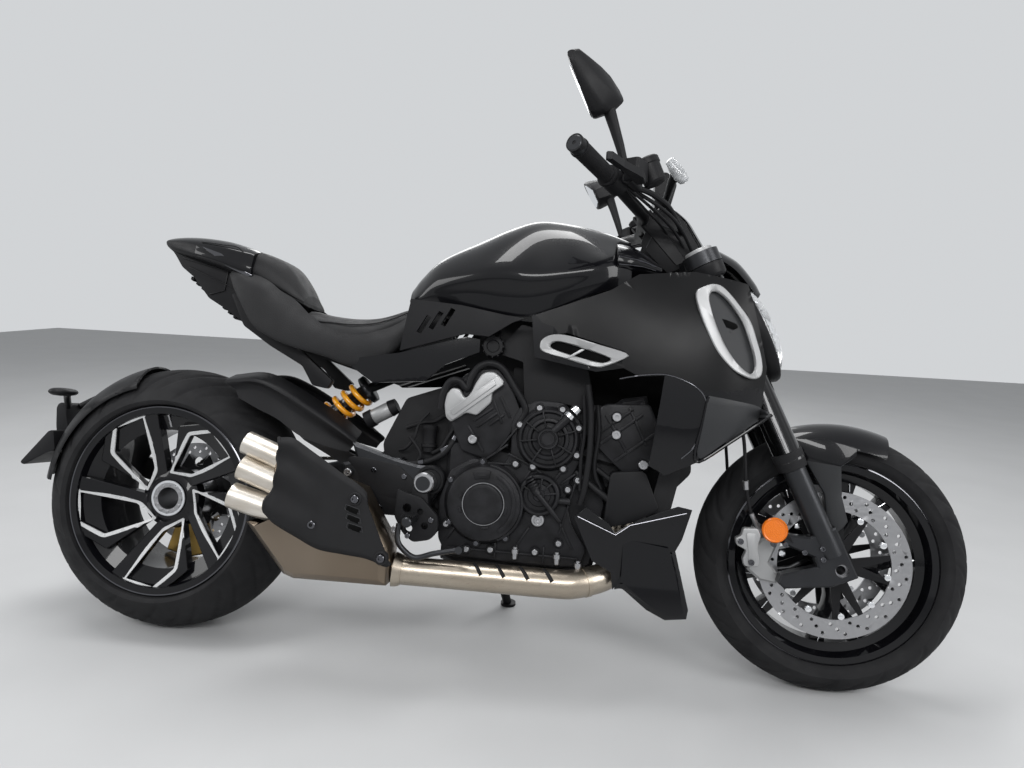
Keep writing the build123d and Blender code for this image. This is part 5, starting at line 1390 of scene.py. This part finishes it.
# tail pipes, shaped heat shield, its lip, slots and bolts
tailPipes = {"pipes": [((275, -232, 488), (372, -226, 452), 26), ((271, -236, 434), (366, -226, 399), 28),
                       ((252, -234, 371), (350, -226, 344), 28.5), ((256, -182, 424), (350, -182, 396), 26)],
             "wall": 2.2}
pipes, shadeLinings = [], []
for start, stop, radius in tailPipes["pipes"]:
    reach = (Vector(stop) - Vector(start)).length
    place = standing(start, stop)
    inside = radius - tailPipes["wall"]
    pipes.append(movedBy(turned([(0.8, inside), (0, inside + 0.7), (0, radius - 0.7), (0.8, radius),
                                 (reach, radius),
                                 (reach, inside)], 72), place))
    # each pipe also holds a dark tube closed about 70 mm in: painted shade deep inside the pipe
    shadeLinings.append(movedBy(turned([(3, inside - 0.2), (3, inside - 1.6), (70, inside - 1.6), (70, 0.01), (72, 0.01),
                                   (72, inside - 0.2)], 48), place))
onBike(painted(joined(pipes), brushedPipe), "tailPipes", smoothAngle=40)
onBike(painted(joined(shadeLinings), engineBlack), "pipeShadeLinings")


shield = {"top": [(360, 504), (388, 505), (417, 490), (456, 466), (502, 437), (533, 420), (557, 402), (561, 388)],
          "bottom": [(347, 346), (356, 331), (407, 300), (461, 274), (516, 267), (570, 262), (612, 250),
                     (624, 256)],
          "side": -258, "along": 60, "across": 48, "humps": ((0.06, 0.13), (0.42, 0.17), (0.84, 0.16)), "rise": 15,
          "lip": [(364, 504), (371, 494), (371, 482), (366, 472), (366, 460), (371, 450), (372, 438), (367, 424),
                  (364, 412), (364, 400), (359, 386), (350, 372), (347, 358), (348, 346), (352, 336)]}


def shieldY(settings, share, across):
    # three swellings over the pipes run out into a flat plate
    rise = 0
    for middle, width in settings["humps"]:
        middle = middle + (0.42 - middle) * 0.25 * share
        rise += math.exp(-((across - middle) / width) ** 2)
    fade = max(0, 1 - share / 0.62)
    edge = min(1, across / 0.06, (1 - across) / 0.06)
    return settings["side"] - settings["rise"] * rise * fade ** 1.2 + 9 * (1 - edge)


def makeShield(settings):
    lipLine = evenly([(x, z, 0) for x, z in settings["lip"]], settings["across"])
    top = evenly([(x, z, 0) for x, z in settings["top"]], settings["along"])
    bottom = evenly([(x, z, 0) for x, z in settings["bottom"]], settings["along"])
    rows = []
    for row in range(settings["across"] + 1):
        across = row / settings["across"]
        line = []
        for column in range(settings["along"] + 1):
            share = column / settings["along"]
            spot = top[column].lerp(bottom[column], across)
            start = top[0].lerp(bottom[0], across)
            spot = spot + (lipLine[row] - start) * max(0, 1 - share / 0.3)
            line.append(Vector((spot.x, shieldY(settings, share, across), spot.y)))
        rows.append(line)
    panel = skin(rows)
    applied(panel, "SOLIDIFY", thickness=4, offset=0)
    outward(panel)
    onBike(painted(panel, mattBlack), "mufflerShield", ["muffler_shield"], 50)
    lip = [Vector((row[0].x - 2, row[0].y + 1, row[0].z)) for row in rows]
    onBike(painted(bentRod(lip, 4.2, 4, smooth=False), mattBlack), "shieldLip")


makeShield(shield)
shieldTrim = {"slots": [((522, 368), (547, 360)), ((526, 349), (551, 341)), ((529, 330), (556, 323))],
              "bolts": [(539, 387), (449, 326), (604, 268)]}
# the slots are near-black plates on the shield: painted shade inside them
slotShadePieces = [ribPlate(start, stop, 12, -261.2, -250, 1.2) for start, stop in shieldTrim["slots"]]
onBike(painted(joined(slotShadePieces), paintedShadeBlack), "shieldSlotShade")
slotRims = []
for (x1, z1), (x2, z2) in shieldTrim["slots"]:
    loop = [(x1 - 4, -260, z1 - 3), (x1 - 2, -260, z1 + 6), (x2 + 2, -260, z2 + 6), (x2 + 5, -260, z2 - 4),
            (x1, -260, z1 - 6)]
    slotRims.append(bentRod(loop[2:] + loop[:3], 1.1, 2, smooth=False))
onBike(painted(joined(slotRims), greyPlastic), "slotRims")
seats = [spunAt([(-250, 15), (-261, 14.5), (-263, 13), (-263, 10), (-260, 9), (-260, 0.01)], x, z, 36)
         for x, z in shieldTrim["bolts"]]
onBike(painted(joined(seats), mattBlack), "shieldBosses")
onBike(painted(boltsAt([(x, -261, z) for x, z in shieldTrim["bolts"]], 8.6), darkChrome), "shieldBolts")
print("exhaust shield ready")

# intake frames: broad bright rings round a flat dark panel with one slot
intake = {"centre": (1300, 788), "points": 96,
          "outer": [(1224, 862), (1236, 876), (1264, 886), (1290, 874), (1337, 820), (1356, 772), (1367, 731),
                    (1366, 702), (1350, 693), (1325, 699), (1302, 712), (1272, 744), (1250, 784), (1234, 822)],
          "inner": [(1252, 858), (1260, 871), (1274, 868), (1296, 850), (1324, 812), (1341, 770), (1351, 738),
                    (1352, 712), (1341, 703), (1314, 724), (1290, 756), (1272, 792), (1258, 830)],
          "slot": [(1272, 816), (1290, 814), (1312, 806), (1317, 799), (1310, 794), (1280, 799)]}
louvre = {"centre": (998, 732), "points": 96,
          "outer": [(906, 744), (912, 757), (932, 766), (966, 765), (1030, 748), (1089, 732), (1091, 722),
                    (1052, 704),
                    (1026, 700), (960, 716), (912, 729)],
          "inner": [(928, 743), (936, 750), (955, 751), (1010, 736), (1056, 721), (1054, 713), (1034, 710),
                    (980, 722),
                    (936, 735)],
          "bridge": [(964, 716), (972, 716), (1004, 736), (996, 738)]}


def reachOf(outline, centre, angle):
    # how far the smooth outline stands from the centre in a direction
    way = Vector((math.cos(angle), math.sin(angle)))
    line = [point.to_2d() for point in smoothed([(x, z, 0) for x, z in outline], 6, closed=True)]
    best = 0
    for one, other in zip(line, line[1:] + line[:1]):
        side = other - one
        cross = way.x * side.y - way.y * side.x
        if abs(cross) < 1e-9:
            continue
        off = one - Vector(centre)
        along = (off.x * side.y - off.y * side.x) / cross
        share = (off.x * way.y - off.y * way.x) / cross
        if along > best and -1e-6 <= share <= 1 + 1e-6:
            best = along
    return best


def panelDepth(settings, surface, side, fallback):
    # plane through the panel just outside the outline
    hits = []
    for step in range(24):
        angle = math.tau * step / 24
        reach = reachOf(settings["outer"], settings["centre"], angle) * 1.1 + 3
        x, z = settings["centre"][0] + reach * math.cos(angle), settings["centre"][1] + reach * math.sin(angle)
        hit = surface.ray_cast(Vector((x, side * 500, z)), Vector((0, -side, 0)))
        if hit[0] and abs(hit[0].y) > fallback - 40:
            hits.append((x, z, abs(hit[0].y)))
    if len(hits) < 6:
        return lambda x, z: side * fallback
    count = len(hits)
    mx, mz, my = (sum(hit[k] for hit in hits) / count for k in range(3))
    sxx = sum((x - mx) ** 2 for x, z, y in hits)
    szz = sum((z - mz) ** 2 for x, z, y in hits)
    sxz = sum((x - mx) * (z - mz) for x, z, y in hits)
    sxy = sum((x - mx) * (y - my) for x, z, y in hits)
    szy = sum((z - mz) * (y - my) for x, z, y in hits)
    base = sxx * szz - sxz * sxz
    slopeX, slopeZ = (sxy * szz - szy * sxz) / base, (szy * sxx - sxy * sxz) / base
    return lambda x, z: side * (my + slopeX * (x - mx) + slopeZ * (z - mz))


def makeFrame(settings, surface, side, fallback, proud, name, replaced, recess):
    depth = panelDepth(settings, surface, side, fallback)
    cx, cz = settings["centre"]
    rows = [[] for step in range(6)]
    floorRow = []
    for step in range(settings["points"]):
        angle = math.tau * step / settings["points"]
        outer = reachOf(settings["outer"], settings["centre"], angle)
        inner = reachOf(settings["inner"], settings["centre"], angle)
        plan = [(outer, -4), (outer, proud - 2), (outer - 2.5, proud), (inner + 4, proud - 1.5), (inner, proud - 5),
                (inner, -recess - 3)]
        for row, (reach, up) in zip(rows, plan):
            x, z = cx + reach * math.cos(angle), cz + reach * math.sin(angle)
            row.append(Vector((x, depth(x, z) + side * up, z)))
        x, z = cx + (inner + 1.5) * math.cos(angle), cz + (inner + 1.5) * math.sin(angle)
        floorRow.append(Vector((x, depth(x, z) - side * recess, z)))
    ring = skin(rows, closedAcross=True, closedAlong=True)
    onBike(painted(ring, silver), name, replaced, 40)
    middle = Vector((cx, depth(cx, cz) - side * recess, cz))
    back = [[middle + (spot - middle) * share - Vector((0, side * 3, 0)) for spot in floorRow] for share in (1.0,
                                                                                                             0.02)]
    front = [[middle + (spot - middle) * share for spot in floorRow] for share in (0.02, 0.5, 1.0)]
    return depth, skin(back + front, closedAcross=True, closedAlong=True)


for side, label in bothSides:
    depth, plate = makeFrame(intake, shroudSurface, side, 212, 10, "intakeFrame" + label,
                             ["intake_frames"] if side < 0 else [], 3)
    onBike(painted(plate, greyPlastic), "intakePanel" + label)
    # a near-black plate in the panel: painted shade inside the slot
    slotLow = depth(1295, 804) - side * 2.6
    dark = cutPlate(intake["slot"], min(slotLow, slotLow + side * 1.4), max(slotLow, slotLow + side * 1.4), 0.6, 2,
                    4)
    onBike(painted(dark, paintedShadeBlack), "intakeSlotShade" + label)
    depth, plate = makeFrame(louvre, shroudSurface, side, 212, 6, "louvreFrame" + label,
                             ["air_louvres"] if side < 0 else [], 5)
    # a near-black plate behind the louvre: painted shade in its opening
    onBike(painted(plate, paintedShadeBlack), "louvreShade" + label)
    bridgeAt = depth(990, 730)
    bridge = cutPlate(louvre["bridge"], min(bridgeAt - side * 4, bridgeAt + side * 3),
                      max(bridgeAt - side * 4, bridgeAt + side * 3), 1.2, 2)
    onBike(painted(bridge, silver), "louvreBridge" + label)
print("intakes ready")

# rear mudguard with the plate bracket and signals drawn up to it
guardCopy = without(castCopy("rear_fender", bikePlace), lambda middle: math.hypot(middle.x, middle.z - 324) > 356
                    or (middle.x < -330 and abs(middle.y) < 31))
onBike(painted(guardCopy, satinBlack), "rearMudguard", ["rear_fender"], 40)
tailBracket = {"stem": [(-300, 440), (-318, 500), (-322, 540), (-340, 542), (-349, 530), (-345, 478), (-330, 420)],
               "plate": [(-300, 474), (-312, 470), (-374, 396), (-380, 388), (-370, 382), (-312, 416), (-290, 424)]}
stem = cutPlate(tailBracket["stem"], -28, 28, 4, 3, 8)
plate = cutPlate(tailBracket["plate"], -92, 92, 2.5, 3, 5)
onBike(joined([painted(stem, satinBlack), painted(plate, satinBlack)]), "plateBracket")
for side, label in bothSides:
    stalk = bentRod([(-322, side * 20, 532), (-296, side * 60, 560), (-262, side * 92, 570),
                     (-250, side * 104, 570)], 8, 4)
    onBike(painted(stalk, satinBlack), "rearSignalStalk" + label)
    rows = []
    for y, half, tall in ((96, 8, 6), (102, 17, 8), (116, 21, 9.5), (140, 22, 10), (156, 19, 9), (165, 12, 6),
                          (168, 4, 2)):
        rows.append([Vector((-250 + half * math.cos(math.tau * i / 24), side * y,
                             570 + tall * math.sin(math.tau * i / 24)))
                     for i in range(24)])
    pod = skin(rows, closedAcross=True, capped=True)
    painted(pod, satinBlack, amber, rule=lambda middle,
            normal: 1 if normal.x < -0.55 and abs(middle.y) < 162 else 0)
    onBike(pod, "rearSignal" + label, smoothAngle=50)
print("rear mudguard ready")
# tail: gloss shell, matt side, hide-covered cowl, long seat flanks and the ribbed tray
def halfBody(sections, stepsAcross=5, stepsAlong=6, bevel=0):
    # closed sections from half outlines, top middle first and bottom middle last
    rows = []
    for x, half in sections.items():
        right = [Vector((x, -y, z)) for y, z in half]
        left = [Vector((x, y, z)) for y, z in reversed(half[1:-1])]
        rows.append(smoothed(right + left, stepsAcross, closed=True))
    body = skin(smoothRows(rows, stepsAlong), closedAcross=True, capped=True)
    return softened(body, bevel, 2, 60) if bevel else body


tail = {"shell": {-84: [(0, 974), (12, 974), (24, 971), (26, 968), (18, 965), (0, 964)],
                  -74: [(0, 981), (28, 979), (44, 974), (48, 967), (38, 958), (0, 954)],
                  -44: [(0, 985), (40, 982), (62, 973), (68, 960), (56, 942), (0, 935)],
                  0: [(0, 987), (48, 983), (74, 971), (82, 954), (72, 931), (0, 923)],
                  50: [(0, 984), (54, 980), (82, 966), (92, 947), (88, 920), (0, 911)],
                  105: [(0, 977), (56, 973), (86, 959), (97, 941), (95, 905), (0, 895)],
                  160: [(0, 963), (56, 959), (86, 948), (97, 932), (95, 886), (0, 876)],
                  184: [(0, 953), (54, 950), (84, 941), (94, 926), (94, 884), (0, 874)]},
        "cowl": {170: [(0, 957), (46, 955), (70, 946), (82, 927), (86, 892), (0, 886)],
                 200: [(0, 950), (46, 948), (70, 938), (82, 916), (86, 880), (0, 874)],
                 235: [(0, 938), (46, 934), (68, 922), (80, 898), (84, 862), (0, 856)],
                 262: [(0, 922), (42, 917), (62, 904), (76, 878), (82, 850), (0, 844)],
                 292: [(0, 884), (38, 878), (56, 868), (70, 852), (78, 836), (0, 830)],
                 310: [(0, 852), (28, 848), (46, 842), (60, 836), (66, 826), (0, 822)]},
        "tray": [(-58, 956), (-40, 934), (-20, 905), (14, 880), (58, 829), (110, 801), (156, 770), (168, 790),
                 (172, 842),
                 (176, 876), (104, 902), (60, 922), (-10, 944)],
        "flankTop": [(128, -70, 904), (160, -84, 899), (194, -90, 888), (231, -93, 872), (262, -95, 850),
                     (303, -98, 828),
                     (345, -108, 794), (400, -120, 764), (470, -124, 756), (540, -104, 774), (594, -64, 822)],
        "flankRidge": [(130, -90, 894), (150, -104, 884), (180, -112, 866), (216, -117, 846), (250, -121, 812),
                       (292, -126, 780), (342, -131, 756), (400, -134, 736), (472, -135, 726), (548, -122, 744),
                       (600, -70, 814)],
        "flankLow": [(130, -98, 882), (148, -108, 850), (172, -116, 818), (208, -122, 768), (242, -126, 746),
                     (286, -130, 727), (338, -134, 712), (398, -135, 699), (472, -134, 681), (556, -122, 716),
                     (602, -74, 803)],
        "flankUnder": [(132, -86, 878), (152, -96, 846), (176, -104, 813), (211, -110, 764), (244, -114, 741),
                       (288, -118, 722), (340, -122, 707), (399, -123, 694), (472, -122, 676), (554, -110, 711),
                       (600, -62, 799)]}
shell = halfBody(tail["shell"], 6, 8)
painted(shell, glossBlack, satinBlack,
        rule=lambda middle, normal: 1 if (normal.z < -0.5 or (middle.x < 30 and abs(normal.y) > 0.45
                                                            and middle.z < 978 - (middle.x + 100) * 0.16)) else 0)
onBike(shell, "tailShell", ["tail_cowl"], 50)
for side, label in bothSides:
    crease = bentRod([(x, side * y, z) for x, y, z in ((44, 87, 964), (98, 93, 958), (150, 94, 948), (176, 96, 892),
                                                        (108, 98, 910), (74, 92, 928))], 1.3, 2)
    onBike(painted(crease, glossBlack), "tailCrease" + label)
    facet = cutPlate([(52, 950), (84, 930), (110, 908), (176, 880), (190, 884), (150, 900), (104, 934)],
                     *((-101, -93) if side < 0 else (93, 101)), 2, 2, 4)
    onBike(painted(facet, darkChrome), "tailFacet" + label)
cowl = halfBody(tail["cowl"], 6, 8)
onBike(painted(cowl, seatHide), "pillionCowl", ["pillion_cover"], 50)
cowlSeam = [bentRod([(178, side * 84, 900), (200, side * 87, 886), (232, side * 86, 862), (262, side * 84, 848),
                     (300, side * 77, 830), (322, side * 60, 817)], 1.5, 3) for side in (1, -1)]
onBike(painted(joined(cowlSeam), mattBlack), "cowlSeams")


def makeFlank(settings):
    lines = [evenly(settings[name], 54) for name in ("flankTop", "flankRidge", "flankLow", "flankUnder")]
    rows = smoothRows(lines, 5)
    panel = skin(rows)
    applied(panel, "SOLIDIFY", thickness=3, offset=1)
    outward(panel)
    return mirrored(painted(panel, seatHide))


onBike(makeFlank(tail), "seatFlanks", smoothAngle=55)
tray = [cutPlate(tail["tray"], -58, 58, 3, 2, 5)]
for step in range(9):
    x, z = 2 + 15 * step, 884 - 11.4 * step
    tray.append(cutPlate([(x, z), (x + 7, z - 5), (x + 5, z - 13), (x - 2, z - 8)], -50, 50, 1))
trayRibs = [ribPlate((-20, 928), (104, 898), 3, -61, -57), ribPlate((0, 905), (150, 846), 3, -61, -57),
            ribPlate((104, 898), (98, 850), 3, -61, -57), ribPlate((98, 850), (60, 838), 3, -61, -57)]
onBike(joined([painted(piece, satinBlack) for piece in tray + [mirrored(joined(trayRibs))]]), "tailTray")
rail = [cutPlate([(130, 838), (142, 842), (180, 786), (243, 742), (323, 706), (404, 640), (392, 620), (354, 626),
                  (325, 672), (240, 716), (168, 762)], -84, -66, 4, 3, 6)]
onBike(mirrored(painted(joined(rail), satinBlack)), "tailRails")
print("tail ready")
# steering head: hood behind the lamp, brow, mirrors, signal lamps, dash, fork clamps
hood = {"side": [(-81, 1163), (-46, 1200), (-30, 1213), (-10, 1223), (11, 1216), (35, 1171), (38, 1135), (42, 1088),
                 (-6, 1073), (-48, 1075)],
        "front": [(-30, 1213), (-8, 1224), (13, 1217), (27, 1194), (37, 1168), (41, 1135), (46, 1092), (48, 1066)],
        "half": 64, "bulge": 14, "fold": [(-70, 1152), (-22, 1192), (18, 1150), (24, 1094)]}
frontRows = []
for spot in smoothed([(x, z, 0) for x, z in hood["front"]], 3):
    frontRows.append([Vector((spot.x + hood["bulge"] * (1 - share * share), hood["half"] * share, spot.y))
                      for share in (-1, -0.9, -0.7, -0.4, 0, 0.4, 0.7, 0.9, 1)])
front = applied(skin(frontRows), "SOLIDIFY", thickness=3, offset=-1)
outward(front)
onFork(painted(front, glossBlack), "headHood", smoothAngle=60)
sides = [mirrored(painted(cutPlate(hood["side"], -65, -61, 1.2, 2, 4), satinBlack)),
         mirrored(painted(bentRod([(x, -65, z) for x, z in hood["fold"]], 1.6, 3, smooth=False), greyPlastic))]
onFork(joined(sides), "hoodSides")

brow = {"line": [(54, 1108, 58, 12), (66, 1100, 66, 14), (92, 1070, 70, 16), (116, 1034, 62, 16),
                 (132, 980, 40, 12),
                 (137, 950, 12, 6)]}
rows = []
for x, z, half, drop in brow["line"]:
    line = []
    for share in (-1, -0.92, -0.75, -0.45, 0, 0.45, 0.75, 0.92, 1):
        line.append(Vector((x - drop * share ** 4 - 6 * share * share, half * share, z - drop * abs(share) ** 3)))
    rows.append(line)
visor = applied(skin(smoothRows(rows, 5)), "SOLIDIFY", thickness=4, offset=-1)
outward(visor)
onFork(painted(visor, glossBlack), "lampBrow", ["fly_screen"], 50)

dash = {"outline": [(16, 1300), (28, 1306), (46, 1298), (54, 1262), (20, 1222), (-14, 1228)], "half": 62}
unit = cutPlate(dash["outline"], -dash["half"], dash["half"], 4, 3, 6)
onFork(painted(unit, satinBlack), "dashHousing", ["dashboard"])
screen = cutPlate([(12, 1296), (13.5, 1295), (-13.5, 1234), (-15, 1235)], -54, 54, 0.3, 1)
onFork(painted(screen, glossBlack), "dashScreen")

mirror = {"sections": {-284: [(-92, 1408), (-92, 1436), (-60, 1436), (-46, 1424), (-46, 1410), (-64, 1404)],
                       -298: [(-97, 1396), (-97, 1452), (-52, 1450), (-25, 1436), (-24, 1404), (-56, 1392)],
                       -325: [(-101, 1388), (-101, 1472), (-62, 1468), (-34, 1456), (-38, 1412), (-66, 1390)],
                       -345: [(-103, 1394), (-103, 1484), (-72, 1478), (-46, 1472), (-52, 1428), (-76, 1398)],
                       -372: [(-105, 1428), (-105, 1496), (-82, 1492), (-64, 1488), (-70, 1456), (-86, 1434)],
                       -392: [(-106, 1462), (-106, 1503), (-92, 1503), (-78, 1500), (-84, 1482), (-94, 1468)],
                       -401: [(-106, 1478), (-106, 1500), (-97, 1501), (-90, 1496), (-92, 1486), (-98, 1480)]}}
rows = [roundedLoop([(x, y, z) for x, z in corners], 7, 2, 1) for y, corners in mirror["sections"].items()]
shell = skin(rows, closedAcross=True, capped=True)
onFork(mirrored(painted(softened(shell, 1.5, 2, 50), satinBlack)), "mirrorShells", ["mirrors"], 34)
rows = [[Vector((min(x for x, z in corners) - 0.6, y, min(z for x, z in corners) + 10)),
         Vector((min(x for x, z in corners) - 0.6, y, max(z for x, z in corners) - 8))]
        for y, corners in list(mirror["sections"].items())[1:-2]]
pane = applied(skin(rows), "SOLIDIFY", thickness=1.6, offset=0)
outward(pane)
onFork(mirrored(painted(pane, mirrorGlass)), "mirrorPanes")
arm = ringStack([(-60, -308, 1412), (-61, -304, 1396), (-64, -298, 1362), (-68, -294, 1325), (-72, -291, 1296),
                 (-74, -290, 1278)], [13, 13, 11, 9.5, 8, 8], 20)
foot = ringStack([(-74, -290, 1284), (-74, -290, 1276), (-74, -290, 1268)], [12, 12, 11], 20)
onFork(mirrored(joined([painted(arm, satinBlack), painted(foot, satinBlack)])), "mirrorArms")

clamp = {"ring": [(1069, 29), (1069, 31.5), (1078, 31.5), (1080, 30), (1080, 24), (1077, 22), (1077, 12),
                  (1083, 11),
                  (1083, 0.01)]}
for side, label in bothSides:
    ring = upright(clamp["ring"], fork["ahead"], side * fork["spread"], 48)
    movedBy(ring, Matrix.Translation((0, 0, 10)))
    onFork(painted(ring, silver), "clampRing" + label)
    body = ringStack([(31, side * 200, 1283), (31, side * 200, 1280), (34, side * 200, 1262),
                      (38, side * 200, 1240),
                      (42, side * 200, 1226), (43, side * 200, 1223)], [5, 11, 14, 14.5, 11, 5], 28)
    onFork(painted(body, clearLens), "frontSignal" + label, smoothAngle=50)
    stalk = ringStack([(35, side * 198, 1252), (24, side * 176, 1244), (14, side * 130, 1234),
                       (8, side * 64, 1230)],
                      [12, 10, 8.5, 8], 16)
    pot = upright([(1236, 20), (1240, 24), (1276, 25), (1278, 27), (1290, 27), (1293, 24), (1293, 0.01)], -22,
                  side * 236, 36)
    clips = [bentRod([(-64, side * 252, 1242), (-34, side * 214, 1226), (-4, side * 160, 1200),
                      (12, side * 104, 1168),
                      (18, side * 70, 1150)], 6.5, 3)]
    pieces = [painted(stalk, satinBlack), painted(pot, satinBlack)] + [painted(clip, hoseRubber) for clip in clips]
    onFork(joined(pieces), "barFittings" + label)

# tank nose: the tank's own section drawn on towards the steering head, with its bright ribs
nose = {"from": 1092, "to": 1167, "columns": 14, "share": 16,
        "top": [(1056, 1008), (1097, 998), (1117, 990), (1142, 972), (1167, 955)],
        "bottom": [(1056, 868), (1099, 886), (1125, 891), (1146, 896), (1167, 899)],
        "ribs": [0.42, 0.55, 0.12]}
tankSurface = surfaceOf("fuel_tank", bikePlace)


def noseSpot(x, share, proud=2.0):
    # width comes from the tank's last section, drawn in a little as it goes forward
    start = nose["from"]
    z = heightOn(nose["top"], x) * (1 - share) + heightOn(nose["bottom"], x) * share
    zAtTank = heightOn(nose["top"], start) * (1 - share) + heightOn(nose["bottom"], start) * share
    width = abs(onSide(tankSurface, min(x, start), zAtTank if x > start else z, -1, 96))
    taper = 1 - 0.1 * max(0, x - start) / (nose["to"] - start)
    return Vector((x, -(max(width, 90) + proud) * taper, z))


span = nose["to"] - 1060
rows = [[noseSpot(1060 + span * column / nose["columns"], 0.03 + 0.97 * row / nose["share"])
         for column in range(nose["columns"] + 1)] for row in range(nose["share"] + 1)]
cheek = applied(skin(rows), "SMOOTH", factor=0.5, iterations=6)
applied(cheek, "SOLIDIFY", thickness=4, offset=0)
outward(cheek)
onBike(mirrored(painted(cheek, glossBlack)), "tankCheeks", smoothAngle=60)
ribs = [mirrored(painted(bentRod([noseSpot(x, share, 4) for x in (1066, 1092, 1118, 1150)], 1.7, 3), darkChrome))
        for share in nose["ribs"]]
onBike(joined(ribs), "tankRibs")

# hugger over the rear tyre: one smooth shell with a raised ridge
hugger = {"outer": [(150, -112, 622), (226, -118, 629), (290, -122, 609), (379, -124, 564), (440, -124, 530),
                    (485, -120, 501)],
          "ridge": [(170, -104, 606), (228, -108, 612), (286, -112, 590), (366, -115, 546), (430, -116, 512),
                    (476, -112, 488)],
          "low": [(186, -112, 584), (240, -116, 560), (290, -120, 540), (350, -122, 504), (416, -120, 484),
                  (466, -114, 474)],
          "top": [(148, -60, 640), (224, -64, 650), (286, -66, 632), (372, -66, 588), (436, -66, 552),
                  (478, -62, 520)]}
rows = smoothRows([evenly(hugger[name], 30) for name in ("top", "outer", "ridge", "low")], 4)
guard = applied(skin(rows), "SOLIDIFY", thickness=3, offset=0)
outward(guard)
onBike(mirrored(painted(guard, satinBlack)), "huggerShell", ["hugger"], 60)

# front calipers: pale radial bodies with a bolt boss and a bridge
caliper = {"body": [(-127, 482), (-99, 470), (-99, 452), (-110, 440), (-118, 425), (-121, 409), (-130, 392),
                    (-158, 405),
                    (-155, 421), (-140, 435), (-155, 453), (-151, 468), (-137, 468)], "boss": (-144, 458)}
for side, label in bothSides:
    low, high = sorted((side * 118, side * 138))
    body = cutPlate(caliper["body"], low, high, 3, 3, 5)
    low, high = sorted((side * 137, side * 140))
    bridge = cutPlate([(-126, 470), (-108, 462), (-108, 450), (-122, 426), (-128, 406), (-146, 411), (-136, 436)],
                      low,
                      high, 1.4, 2, 4)
    dot = boltsAt([(caliper["boss"][0], side * 139, caliper["boss"][1]), (-141, side * 139, 408)], 6.5,
                  (0, side, 0))
    onFork(joined([painted(body, silver), painted(bridge, silver), painted(dot, darkChrome)]),
           "caliperBody" + label)

# painted shade: near-black plates behind the openings under the shrouds, standing for the shadow seen through them
fill = [cutPlate([(860, 760), (1200, 740), (1210, 650), (1180, 600), (1060, 620), (880, 640)], -92, -88, 1.5, 2,
                 12),
        cutPlate([(560, 520), (700, 560), (760, 470), (740, 380), (640, 330), (590, 380)], -60, -56, 1.5, 2, 12)]
onBike(mirrored(painted(joined(fill), paintedShadeBlack)), "shadePlates")
print("steering head and hugger ready")


# floor, light
stage = {"floorSize": 14, "floorColour": (0.5, 0.505, 0.51), "worldColour": (0.8, 0.82, 0.84),
         "worldStrength": 0.36,
         "worldSeen": 0.8}
bpy.ops.object.select_all(action="DESELECT")
bpy.ops.mesh.primitive_plane_add(size=stage["floorSize"], location=(0, 0, 0))
floor = bpy.context.object
floor.name = "floor"
floorFinish = newFinish("floorPaint", stage["floorColour"], rough=0.55)
varyColour(floorFinish, (0.49, 0.495, 0.5), (0.51, 0.515, 0.52), 3)
floor.data.materials.append(floorFinish)
world = bpy.data.worlds.new("room")
world.use_nodes = True
roomNodes, roomLinks = world.node_tree.nodes, world.node_tree.links
roomNodes["Background"].inputs["Color"].default_value = (*stage["worldColour"], 1)
rays = roomNodes.new("ShaderNodeLightPath")
seen = None
for ray in ("Is Camera Ray", "Is Glossy Ray", "Is Transmission Ray"):
    if seen is None:
        seen = rays.outputs[ray]
        continue
    both = roomNodes.new("ShaderNodeMath")
    both.operation = "MAXIMUM"
    roomLinks.new(seen, both.inputs[0])
    roomLinks.new(rays.outputs[ray], both.inputs[1])
    seen = both.outputs["Value"]
strength = roomNodes.new("ShaderNodeMapRange")
strength.inputs["To Min"].default_value = stage["worldStrength"]
strength.inputs["To Max"].default_value = stage["worldSeen"]
roomLinks.new(seen, strength.inputs["Value"])
roomLinks.new(strength.outputs["Result"], roomNodes["Background"].inputs["Strength"])
bpy.context.scene.world = world
lamps = [
    {"name": "windowRight", "at": (0.2, -3.6, 2.9), "size": (3.6, 0.7), "power": 90, "aim": (0, 0, 0.5)},
    {"name": "windowFront", "at": (3.4, -1.6, 2.2), "size": (1.6, 2.0), "power": 60, "aim": (0.3, 0, 0.6)},
    {"name": "skylight", "at": (-0.4, 0.4, 4.0), "size": (3.6, 0.9), "power": 100, "aim": (0, 0, 0.4)},
    {"name": "windowRear", "at": (-3.6, -1.2, 2.0), "size": (1.6, 1.8), "power": 40, "aim": (-0.3, 0, 0.6)},
    {"name": "windowLeft", "at": (-0.4, 3.8, 2.4), "size": (3.4, 1.0), "power": 35, "aim": (0, 0, 0.5)},
]
for lamp in lamps:
    lampData = bpy.data.lights.new(lamp["name"], "AREA")
    lampData.shape = "RECTANGLE"
    lampData.size, lampData.size_y = lamp["size"]
    lampData.energy = lamp["power"]
    lampObject = bpy.data.objects.new(lamp["name"], lampData)
    lampObject.location = lamp["at"]
    lampObject.rotation_euler = (Vector(lamp["aim"]) - Vector(lamp["at"])).to_track_quat("-Z", "Y").to_euler()
    bpy.context.scene.collection.objects.link(lampObject)
print("stage ready")
